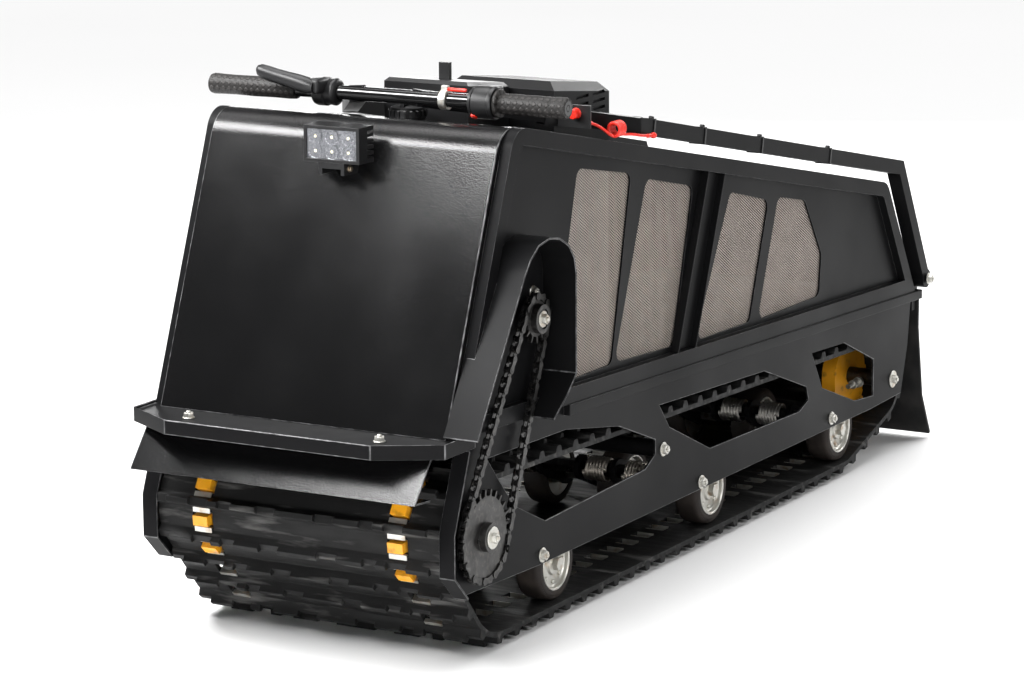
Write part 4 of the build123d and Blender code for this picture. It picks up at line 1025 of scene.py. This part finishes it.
class TUG_OT_track(bpy.types.Operator):
    """Rubber track: a pitch of belt with lug and windows, repeated along the slack loop, and its clips"""
    bl_idname = "tug.track"
    bl_label = "Track"

    def execute(self, context):
        pitch = loop_spots([0])[1] / LUG_COUNT
        belt = belt_pitch(pitch)
        repeated(belt, LUG_COUNT, (pitch * MM, 0, 0), use_merge_vertices=True,
                 merge_threshold=SEAM_REACH * MM)
        flat = [vertex.co.copy() for vertex in belt.data.vertices]
        shares = [((place.x / MM / pitch + LUG_PHASE) / LUG_COUNT) % 1 for place in flat]
        for vertex, place, (spot, angle) in zip(belt.data.vertices, flat, loop_spots(shares)[0]):
            out = spot * MM + Vector((math.cos(angle), math.sin(angle))) * place.z
            vertex.co = (out.x, place.y, out.y)
        modify(clean(belt, SEAM_REACH), "BEVEL", width=TRACK_BEVEL * MM, segments=1, limit_method="ANGLE",
               angle_limit=math.radians(TRACK_ANGLE))
        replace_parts(dressed(rounded(belt, 32), "track_rubber"), "track")
        seats = []
        shares = [((index + 0.5 + LUG_PHASE) / LUG_COUNT) % 1 for index in range(LUG_COUNT)]
        for place, angle in loop_spots(shares)[0]:
            turn = Matrix.Rotation(math.pi / 2 - angle, 4, "Y")
            for row in (-WINDOW_Y, WINDOW_Y):
                for side in (1, -1):
                    shift = at(side * CLIP_ASIDE, -CLIP_WIDE / 2, 0) @ Matrix.Diagonal((side, 1, 1, 1))
                    seats.append(at(place.x, row, place.y) @ turn @ shift)
        clips = copies(outlined("clip", CLIP_PROFILE, CLIP_WIDE), seats)
        # Half of the clips are mirrored, so all faces are turned outwards again
        dressed(clean(joined(clips, "track_clips"), 0.001), "zinc")
        return {"FINISHED"}


# Bolts on both side plates as (x, z, washer scale)
PLATE_BOLTS = (
    (571, 119, 1),
    (172, 200, 1),
    (36, 117, 1),
    (-471, 122, 1),
    (-735, 142, 1.35),
)
# Other bolts as (way, place, washer scale): sprockets, guard, bumper and tiller pivots
OTHER_BOLTS = (
    ((0, 1, 0), (768, 285, 194), 1.45),
    ((0, 1, 0), (612, 283, 491), 1.1),
    ((0, 1, 0), (585, 251, 524), 0.9),
    ((0, 0, 1), (884, 165, 348.1), 0.8),
    ((0, 0, 1), (884, -165, 348.1), 0.8),
    ((0, 1, 0), (-855, 273.5, 308), 0.9),
    ((0, -1, 0), (-855, -273.5, 308), 0.9),
)
# Washer as (radius past its own, height), shank as (share of the head's radius, height), and the hexagon
# head: its depth, the height of its middle, its chamfer, and the rim and depth of its dished top
WASHER = ((-0.4, 0), (0, 0.4), (0, 1.4), (-0.5, 1.9))
HEAD_DEPTH = 6.4
HEAD_MIDDLE = 5.1
HEAD_CHAMFER = 0.9
HEAD_RIM = 1.8
HEAD_DISH = 0.5
SHANK = ((0, 7), (0.46, 7), (0.46, 10.2), (0.36, 11), (0, 11))
# The track's tension bolts: profile, and place on the left side
TENSION_ROD = ((0, 0), (9.5, 0), (9.5, 7), (5, 7), (5, 22), (8, 22), (8, 29), (4.4, 29), (4.4, 48), (0, 48))
ROD_PLACE = (-668, 222, 146)


def hex_bolt(washer):
    """A hexagon bolt on a plain washer, standing on z = 0."""
    size = sizes()
    head, flat = size.bolt_head / MM, size.washer / MM * washer
    rim = [(flat + past, height) for past, height in WASHER]
    ring = turned("washer", [(0, WASHER[0][1]), *rim, (0, WASHER[-1][1])])
    hexagon = started("hexagon", bpy.ops.mesh.primitive_cylinder_add, vertices=6, radius=size.bolt_head,
                      depth=HEAD_DEPTH * MM, location=(0, 0, HEAD_MIDDLE * MM))
    with editing(hexagon):
        pick(hexagon, lambda middle, normal: normal.z > 0.9)
        bpy.ops.mesh.bevel(offset=HEAD_CHAMFER * MM, segments=2, affect="EDGES")
        pick(hexagon, lambda middle, normal: normal.z > 0.99)
        bpy.ops.mesh.inset(thickness=HEAD_RIM * MM, depth=-HEAD_DISH * MM)
    shank = turned("shank", [(share * head, height) for share, height in SHANK], 16)
    return rounded(joined([ring, hexagon, shank], "bolt"))


class TUG_OT_bolts(bpy.types.Operator):
    """Zinc bolts on the side plates, sprockets, bumper and tiller, and the track's tension bolts"""
    bl_idname = "tug.bolts"
    bl_label = "Bolts"

    def execute(self, context):
        made = []
        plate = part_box("side_plate_left")[1].y / MM
        for x, z, washer in PLATE_BOLTS:
            made += copies(hex_bolt(washer), [facing((0, side, 0), (x, side * plate, z)) for side in (1, -1)])
        for way, place, washer in OTHER_BOLTS:
            made.append(seated(hex_bolt(washer), facing(way, place)))
        x, y, z = ROD_PLACE
        seats = [facing((1, 0, 0), (x, side * y, z)) for side in (1, -1)]
        made += copies(turned("rod", TENSION_ROD, 12), seats)
        dressed(joined(made, "zinc_bolts"), "zinc")
        return {"FINISHED"}


# Lamp: cups of the reflector as rows and columns, and profiles of cup, diode and foot screw
CUP_COLUMNS = 3
CUP_ROWS = 2
CUP_HEIGHT = 0.6
CUP = ((11.6, 0), (10.6, -0.6), (6.2, -2.2), (4.2, -2.7), (0, -2.7))
DIODE = ((0, -2.7), (3.2, -2.7), (3, -1.2), (2, -0.2), (0, 0.1))
FOOT_SCREW = ((0, 0), (5.4, 0), (5.4, 0.9), (4.4, 1), (4.4, 3.4), (3.4, 4.2), (0, 4.4))
# How far the reflector lies behind the middle between the fronts of lens and body, and how far the screws
# lie ahead of the bracket's middle
REFLECTOR_BACK = 0.4
SCREW_AHEAD = 6
# Rim of each field of the reflector
FIELD_RIM = 1.2


class TUG_OT_lamp(bpy.types.Operator):
    """Lamp with a silver reflector of six cups, their diodes and the foot's bolts"""
    bl_idname = "tug.lamp"
    bl_label = "Lamp"

    def execute(self, context):
        low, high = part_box("lamp_lens")
        front = (high.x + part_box("lamp_body")[1].x) / 2
        wide, tall = (high.y - low.y) / MM, (high.z - low.z) / MM
        plate = started("plate", bpy.ops.mesh.primitive_grid_add, x_subdivisions=CUP_ROWS,
                        y_subdivisions=CUP_COLUMNS, size=1)
        with editing(plate):
            bpy.ops.transform.resize(value=(tall * MM, wide * MM, 1))
            bpy.ops.mesh.inset(thickness=FIELD_RIM * MM, use_individual=True)
            bpy.ops.mesh.subdivide(number_cuts=3)
        spots = [
            at(((row + 0.5) / CUP_ROWS - 0.5) * tall, ((column + 0.5) / CUP_COLUMNS - 0.5) * wide, CUP_HEIGHT)
            for row in range(CUP_ROWS) for column in range(CUP_COLUMNS)]
        cups = copies(turned("cup", CUP, 20), spots)
        diodes = copies(turned("diode", DIODE, 14), spots)
        seat = Matrix.Translation((front - REFLECTOR_BACK * MM, 0, (low.z + high.z) / 2))
        seat = seat @ Matrix.Rotation(math.pi / 2, 4, "Y")
        reflector = seated(joined([plate, *cups], "lamp_reflector"), seat)
        dressed(rounded(reflector), "lens")
        dressed(rounded(seated(joined(diodes, "lamp_diodes"), seat)), "lens", finish="diode")
        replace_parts(reflector, "lamp_lens")
        foot_low, foot_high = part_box("lamp_bracket")
        x, z = (foot_low.x + foot_high.x) / 2 / MM + SCREW_AHEAD, (foot_low.z + foot_high.z) / 2 / MM
        seats = [
            facing((0, side, 0), (x, edge.y / MM, z)) for side, edge in ((1, foot_high), (-1, foot_low))]
        screws = copies(turned("screw", FOOT_SCREW, 12), seats)
        dressed(rounded(joined(screws, "lamp_bolts")), "spring_steel")
        return {"FINISHED"}


# Handlebar: profiles of its sleeves as (radius, distance from the sleeve's inner end), and where they begin
GRIP_NEAR = (
    (11, 0), (21, 0), (21.6, 1), (21.6, 4), (20.6, 5.2), (14.6, 6), (14.6, 10), (15.4, 12), (15.8, 30),
    (15.2, 50), (15.8, 70), (15.4, 92), (14.6, 94), (14.6, 96), (15.9, 97), (15.9, 114), (14.8, 117.2),
    (4, 117.8), (2.6, 116), (0, 116))
GRIP_FAR = (
    (11, 0), (14.4, 0), (15, 1.2), (15.6, 12), (15.1, 40), (15.7, 75), (15.1, 110), (15.5, 136), (15.9, 140),
    (15.9, 150), (14.8, 153.6), (4, 154.2), (0, 154.2))
HOUSING = (
    (11.2, 0), (19, 0), (21.6, 1.6), (22, 6), (21, 6.8), (21, 8), (24.6, 9.2), (24.8, 30), (23.6, 33),
    (23.6, 34.4), (24.8, 35.6), (24.8, 39), (23.4, 41.6), (11.2, 42))
NEAR_START = 194
FAR_START = -156.9
HOUSING_START = 151
# Steps round a sleeve
SLEEVE_STEPS = 36
# Spout of the throttle's cable: its box, its rounding as (width, segments), how its back end is drawn out and
# narrowed, and its place
SPOUT_SIZE = (26, 22, 20)
SPOUT_ROUND = (3, 3)
SPOUT_REACH = (-10, 0, 4)
SPOUT_TAPER = 0.6
SPOUT_PLACE = (BAR_X - 14, 176, BAR_Z + 12)
# Start button on the housing: its profile, its way, its place along the bar and out from the bar's middle
START_BUTTON = ((0, 0), (5.6, 0), (5.6, 3.4), (4.6, 4.4), (0, 4.8))
START_WAY = (0.55, 0, -0.83)
START_Y = 160.5
START_OUT = 21.4


class TUG_OT_grips(bpy.types.Operator):
    """Rubber grips with their end collars, and the throttle's housing with its start button"""
    bl_idname = "tug.grips"
    bl_label = "Grips"

    def execute(self, context):
        near = on_bar(turned("near", GRIP_NEAR, SLEEVE_STEPS), NEAR_START)
        far = on_bar(turned("far", GRIP_FAR, SLEEVE_STEPS), FAR_START, -1)
        grips = dressed(rounded(joined([near, far], "rubber_grips")), "grip_rubber", "tiller")
        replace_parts(grips, "grips")
        barrel = on_bar(turned("barrel", HOUSING, SLEEVE_STEPS), HOUSING_START)
        spout = block("spout", SPOUT_SIZE)
        with editing(spout):
            pick(spout, lambda middle, normal: normal.x < -0.9)
            extruded(*SPOUT_REACH)
            bpy.ops.transform.resize(value=(1, SPOUT_TAPER, SPOUT_TAPER))
            bevelled(*SPOUT_ROUND)
        case = joined([barrel, seated(spout, at(*SPOUT_PLACE))], "throttle_case")
        dressed(rounded(case), "engine_black", "tiller")
        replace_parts(case, "throttle_housing")
        place = Vector((BAR_X, START_Y, BAR_Z)) + Vector(START_WAY) * START_OUT
        start = seated(turned("start_button", START_BUTTON, 20), facing(START_WAY, place))
        dressed(rounded(start), "red_plastic", "tiller")
        return {"FINISHED"}


# Brake: the boot's round sections along the lever, as (y, z, radius), the perch's profile and its knuckle
BOOT_X = 620
BOOT = (
    (-104, 812, 9), (-114, 814, 13), (-132, 817.6, 13.2), (-150, 821.2, 12.2), (-168, 825, 11.4),
    (-184, 828.4, 11.6), (-196, 831, 11), (-202, 832.3, 8.6), (-205.4, 833, 4.4))
PERCH = (
    (11.2, 0), (15, 0), (18.6, 1.4), (20.8, 4), (20.8, 7), (20, 8), (20, 18), (21.9, 19.2), (21.9, 34),
    (20.6, 38), (16, 39), (11.2, 39))
PERCH_START = -82
KNUCKLE_SIZE = (38, 24, 24)
KNUCKLE_ROUND = (6, 3)
KNUCKLE_PLACE = (604, -108, 813)
# Bar clamp: its ring's profile, its ear as (x, z), and where its middle is along the bar
CLAMP_RING = ((11.2, -6), (14.4, -6), (15.4, -5), (15.4, 5), (14.4, 6), (11.2, 6))
CLAMP_EAR = ((-4, 13), (4, 13), (4, 20), (2.5, 21.4), (-2.5, 21.4), (-4, 20))
EAR_WIDE = 10
CLAMP_Y = 103.9
# Red lever beside the clamp: its profile and its place
RED_LEVER = ((0, 0), (2.2, 0), (2.8, 1), (2.8, 33), (2.2, 36), (0, 36))
RED_LEVER_PLACE = (BAR_X, 104, BAR_Z + 15.8)


class TUG_OT_brake(bpy.types.Operator):
    """Brake lever in its rubber boot, on the bar's perch, and the bar's clamp with its red lever"""
    bl_idname = "tug.brake"
    bl_label = "Brake"

    def execute(self, context):
        boot = started("boot", bpy.ops.mesh.primitive_circle_add, vertices=20, radius=1, fill_type="NGON",
                       rotation=(math.pi / 2, 0, 0))
        with editing(boot):
            y, z, radius = BOOT[0]
            bpy.ops.transform.resize(value=(radius * MM, radius * MM, radius * MM))
            bpy.ops.transform.translate(value=(BOOT_X * MM, y * MM, z * MM))
            for (y0, z0, radius0), (y1, z1, radius1) in zip(BOOT, BOOT[1:]):
                extruded(0, y1 - y0, z1 - z0)
                bpy.ops.transform.resize(value=(radius1 / radius0, 1, radius1 / radius0))
        perch = on_bar(turned("perch", PERCH, 32), PERCH_START, -1)
        knuckle = seated(pebble("knuckle", KNUCKLE_SIZE, *KNUCKLE_ROUND), at(*KNUCKLE_PLACE))
        brake = joined([clean(boot), perch, knuckle], "brake_boot")
        dressed(rounded(brake, 50), "engine_black", "tiller")
        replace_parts(brake, "brake_lever")
        ring = on_bar(turned("ring", CLAMP_RING, 28), CLAMP_Y)
        ear = seated(outlined("ear", CLAMP_EAR, EAR_WIDE), at(BAR_X, CLAMP_Y - EAR_WIDE / 2, BAR_Z))
        clamp = dressed(rounded(joined([ring, ear], "bar_ring")), "zinc", "tiller")
        lever = seated(turned("red_lever", RED_LEVER, 14), facing((0, 1, 0), RED_LEVER_PLACE))
        dressed(rounded(lever), "red_plastic", "tiller")
        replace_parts(clamp, "bar_clamp")
        return {"FINISHED"}


# Stop switch: the front of its barrel, and the profiles of its button ahead and its barrel behind
SWITCH = (397, 224.7, 766.2)
BUTTON = ((0, 0), (8.4, 0), (8.4, 2), (7.6, 2.8), (7.6, 9), (8.2, 10), (8.2, 12.6), (7, 14.4), (0, 14.8))
BUTTON_AHEAD = 1
BARREL = ((0, 0), (9.8, 0), (9.8, 8), (9, 8.8), (9, 10), (9.8, 10.8), (9.8, 22), (8.4, 24), (0, 24))
# Its bracket as (x, z) and its width, the slanted arm's way, and the clasp round the arm: its size and wall
BRACKET = ((-1.8, -22), (1.8, -22), (1.8, 12.6), (-1.8, 12.6))
BRACKET_WIDE = 74
SLANT_WAY = (312, -208.1, 68.1)
CLASP_SIZE = (21, 32.6, 32.6)
CLASP_WALL = 3.4
CLASP_ROUND = (0.8, 2)
# How far the arm's middle lies beside and below the switch
CLASP_ASIDE = 50
CLASP_BELOW = 5


class TUG_OT_switch(bpy.types.Operator):
    """Stop switch beside the left arm, with its red button, bracket and clasp"""
    bl_idname = "tug.switch"
    bl_label = "Stop switch"

    def execute(self, context):
        x, y, z = SWITCH
        button = seated(turned("stop_button", BUTTON, 28), facing((1, 0, 0), (x + BUTTON_AHEAD, y, z)))
        dressed(rounded(button), "red_plastic", "tiller")
        barrel = seated(turned("barrel", BARREL, 28), facing((-1, 0, 0), SWITCH))
        bracket = seated(outlined("bracket", BRACKET, BRACKET_WIDE), at(x, y - CLASP_ASIDE, z))
        clasp = hoop("clasp", CLASP_SIZE, CLASP_WALL)
        with editing(clasp):
            bevelled(*CLASP_ROUND)
        way = Vector(SLANT_WAY).normalized()
        across = Vector((-way.y, way.x, 0)).normalized()
        slant = Matrix((way, across, way.cross(across))).transposed().to_4x4()
        seated(clean(clasp), at(x, y - CLASP_ASIDE, z - CLASP_BELOW) @ slant)
        case = dressed(rounded(joined([barrel, bracket, clasp], "switch_case")), "engine_black", "tiller")
        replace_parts(case, "stop_switch")
        return {"FINISHED"}


# Fuel cap: its middle, its disc's profile, and its ribs and raised grip as (x, z) with their thickness
CAP_MIDDLE = (540, 12, 767.9)
CAP_DISC = (
    (0, -6), (26.5, -6), (27.5, -4), (27.5, 9), (26, 12.4), (22, 13.6), (18, 12.8), (14, 14.6), (0, 15.4))
CAP_RIB = ((26.5, -2), (29.4, -1), (29.4, 8), (26.5, 10))
CAP_RIBS = 18
RIB_THICK = 3.6
CAP_GRIP = ((-18, 12.6), (18, 12.6), (16, 18.6), (-16, 18.6))
GRIP_THICK = 7


class TUG_OT_cap(bpy.types.Operator):
    """Ribbed fuel cap with a raised grip across it"""
    bl_idname = "tug.cap"
    bl_label = "Fuel cap"

    def execute(self, context):
        turns = [Matrix.Rotation(math.tau * index / CAP_RIBS, 4, "Z") for index in range(CAP_RIBS)]
        rib = seated(outlined("rib", CAP_RIB, RIB_THICK), at(0, -RIB_THICK / 2, 0))
        grip = seated(outlined("grip", CAP_GRIP, GRIP_THICK), at(0, -GRIP_THICK / 2, 0))
        cap = joined([turned("disc", CAP_DISC, 36), *copies(rib, turns), grip], "fuel_lid")
        dressed(rounded(seated(cap, at(*CAP_MIDDLE))), "engine_black")
        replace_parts(cap, "fuel_cap")
        return {"FINISHED"}


# Cable ties on the left arm, by their x, and a point and the slope of the arm's straight run
TIE_X = (230, 53, -158, -427)
ARM_SLOPE = 0.2039
ARM_MIDDLE = (272, 258, 733.8)
# A tie's loop and wall, and its head's size and place
TIE_SIZE = (4.6, 28, 28)
TIE_WALL = 1.4
TIE_HEAD = (7, 7, 4.6)
TIE_HEAD_ROUND = (1.2, 2)
TIE_HEAD_PLACE = (0, 6, 15.4)


class TUG_OT_ties(bpy.types.Operator):
    """Cable ties round the left arm"""
    bl_idname = "tug.ties"
    bl_label = "Cable ties"

    def execute(self, context):
        loop = clean(hoop("loop", TIE_SIZE, TIE_WALL))
        head = seated(pebble("head", TIE_HEAD, *TIE_HEAD_ROUND), at(*TIE_HEAD_PLACE))
        tilt = Matrix.Rotation(-math.atan(ARM_SLOPE), 4, "Y")
        arm_x, arm_y, arm_z = ARM_MIDDLE
        seats = [at(x, arm_y, arm_z + ARM_SLOPE * (x - arm_x)) @ tilt for x in TIE_X]
        ties = copies(joined([loop, head], "tie"), seats)
        dressed(joined(ties, "cable_ties"), "engine_black", "tiller")
        return {"FINISHED"}


# Stage: floor, lights and camera

# Soft boxes and strips as (name, power in keys, size, place, point they look at), in metres
SOFT_LIGHTS = (
    ("hood_strip", 2.7, (2.2, 0.28), (1.37, -0.56, 1.52), (0.68, 0, 0.72)),
    ("rim_strip", 2.5, (2.6, 0.6), (-3, 0.9, 1.95), (0, 0.2, 0.6)),
    ("back_box", 3, (3, 0.9), (-4, -2.2, 1.45), (0.3, 0, 0.7)),
    ("side_box", 4, (2.4, 1.6), (2.2, 4.2, 2.6), (0.1, 0, 0.45)),
    ("track_box", 0.9, (1.2, 0.5), (3.4, 0.9, 0.5), (0.8, 0, 0.2)),
)
# Light from above: its tilts and its spread, in degrees
TOP_TILT = (6, -8)
TOP_SPREAD = 50
# Camera's place in metres, and its angles in degrees
CAMERA_PLACE = (5.33725, 2.90007, 1.56241)
CAMERA_YAW = 29.46095
CAMERA_PITCH = 11.56246
CAMERA_ROLL = -0.32489
SENSOR = 36
FLOOR_SIZE = 60


def lit(kind, name, power, place, rotation):
    """A light of a kind, with its power."""
    bpy.ops.object.select_all(action="DESELECT")
    bpy.ops.object.light_add(type=kind, location=place, rotation=rotation)
    lamp = bpy.context.active_object
    lamp.name = name
    lamp.data.energy = power
    return lamp.data


class TUG_OT_stage(bpy.types.Operator):
    """Pale floor, soft studio light and the camera"""
    bl_idname = "tug.stage"
    bl_label = "Stage"

    def execute(self, context):
        stage = context.scene.tug_stage
        floor = started("floor", bpy.ops.mesh.primitive_plane_add, size=FLOOR_SIZE)
        pale = patchy("pale_floor", stage.floor, sheen=(0.7, 2, 0.70, 0.80))
        floor.data.materials.append(pale.material)
        world = bpy.data.worlds.new("white_surround")
        context.scene.world = world
        world.use_nodes = True
        sky = world.node_tree.nodes["Background"]
        sky.inputs["Color"].default_value = (1, 1, 1, 1)
        sky.inputs["Strength"].default_value = stage.sky
        sun = lit("SUN", "top_light", stage.top, (0, 0, 6), (*map(math.radians, TOP_TILT), 0))
        sun.angle = math.radians(TOP_SPREAD)
        for name, power, size, place, target in SOFT_LIGHTS:
            way = Vector(target) - Vector(place)
            area = lit("AREA", name, stage.key * power, place, way.to_track_quat("-Z", "Y").to_euler())
            area.shape = "RECTANGLE"
            area.size, area.size_y = size
        yaw, pitch, roll = map(math.radians, (CAMERA_YAW, CAMERA_PITCH, CAMERA_ROLL))
        ahead = -Vector((math.cos(pitch) * math.cos(yaw), math.cos(pitch) * math.sin(yaw), math.sin(pitch)))
        right = ahead.cross(Vector((0, 0, 1))).normalized()
        level = Matrix((right, right.cross(ahead), -ahead)).transposed()
        turn = level @ Matrix.Rotation(roll, 3, "Z")
        bpy.ops.object.camera_add(location=CAMERA_PLACE, rotation=turn.to_euler())
        camera = bpy.context.active_object
        camera.name = "camera"
        camera.data.lens = stage.lens
        camera.data.sensor_width = SENSOR
        camera.data.clip_end = 200
        context.scene.camera = camera
        context.scene.view_settings.view_transform = "Standard"
        return {"FINISHED"}


# Panel and registration

GROUPS = {"tug_paints": TugPaints, "tug_sizes": TugSizes, "tug_stage": TugStage}
STEPS = (
    TUG_OT_solids, TUG_OT_stage, TUG_OT_lanyard, TUG_OT_mesh, TUG_OT_rollers, TUG_OT_springs, TUG_OT_chain,
    TUG_OT_track, TUG_OT_bolts, TUG_OT_lamp, TUG_OT_grips, TUG_OT_brake, TUG_OT_switch, TUG_OT_cap,
    TUG_OT_ties)


class TUG_PT_panel(bpy.types.Panel):
    """Lists the settings and the steps that dress the tug"""
    bl_idname = "TUG_PT_panel"
    bl_label = "Snow Tug"
    bl_space_type = "VIEW_3D"
    bl_region_type = "UI"
    bl_category = "Snow Tug"

    def draw(self, context):
        for name in GROUPS:
            group = getattr(context.scene, name)
            box = self.layout.box()
            for setting in group.__annotations__:
                box.prop(group, setting)
        for step in STEPS:
            self.layout.operator(step.bl_idname)


CLASSES = (*GROUPS.values(), *STEPS, TUG_PT_panel)


def register():
    """Registers the settings, steps and panel."""
    for item in CLASSES:
        bpy.utils.register_class(item)
    for name, group in GROUPS.items():
        setattr(bpy.types.Scene, name, bpy.props.PointerProperty(type=group))


def unregister():
    """Takes the settings, steps and panel away again."""
    for name in GROUPS:
        delattr(bpy.types.Scene, name)
    for item in reversed(CLASSES):
        bpy.utils.unregister_class(item)


def main():
    """Dresses the tug."""
    register()
    bpy.ops.tug.solids()
    bpy.ops.tug.stage()
    bpy.ops.tug.lanyard()
    bpy.ops.tug.mesh()
    bpy.ops.tug.rollers()
    bpy.ops.tug.springs()
    bpy.ops.tug.chain()
    bpy.ops.tug.track()
    bpy.ops.tug.bolts()
    bpy.ops.tug.lamp()
    bpy.ops.tug.grips()
    bpy.ops.tug.brake()
    bpy.ops.tug.switch()
    bpy.ops.tug.cap()
    bpy.ops.tug.ties()


if __name__ == "__main__":
    main()
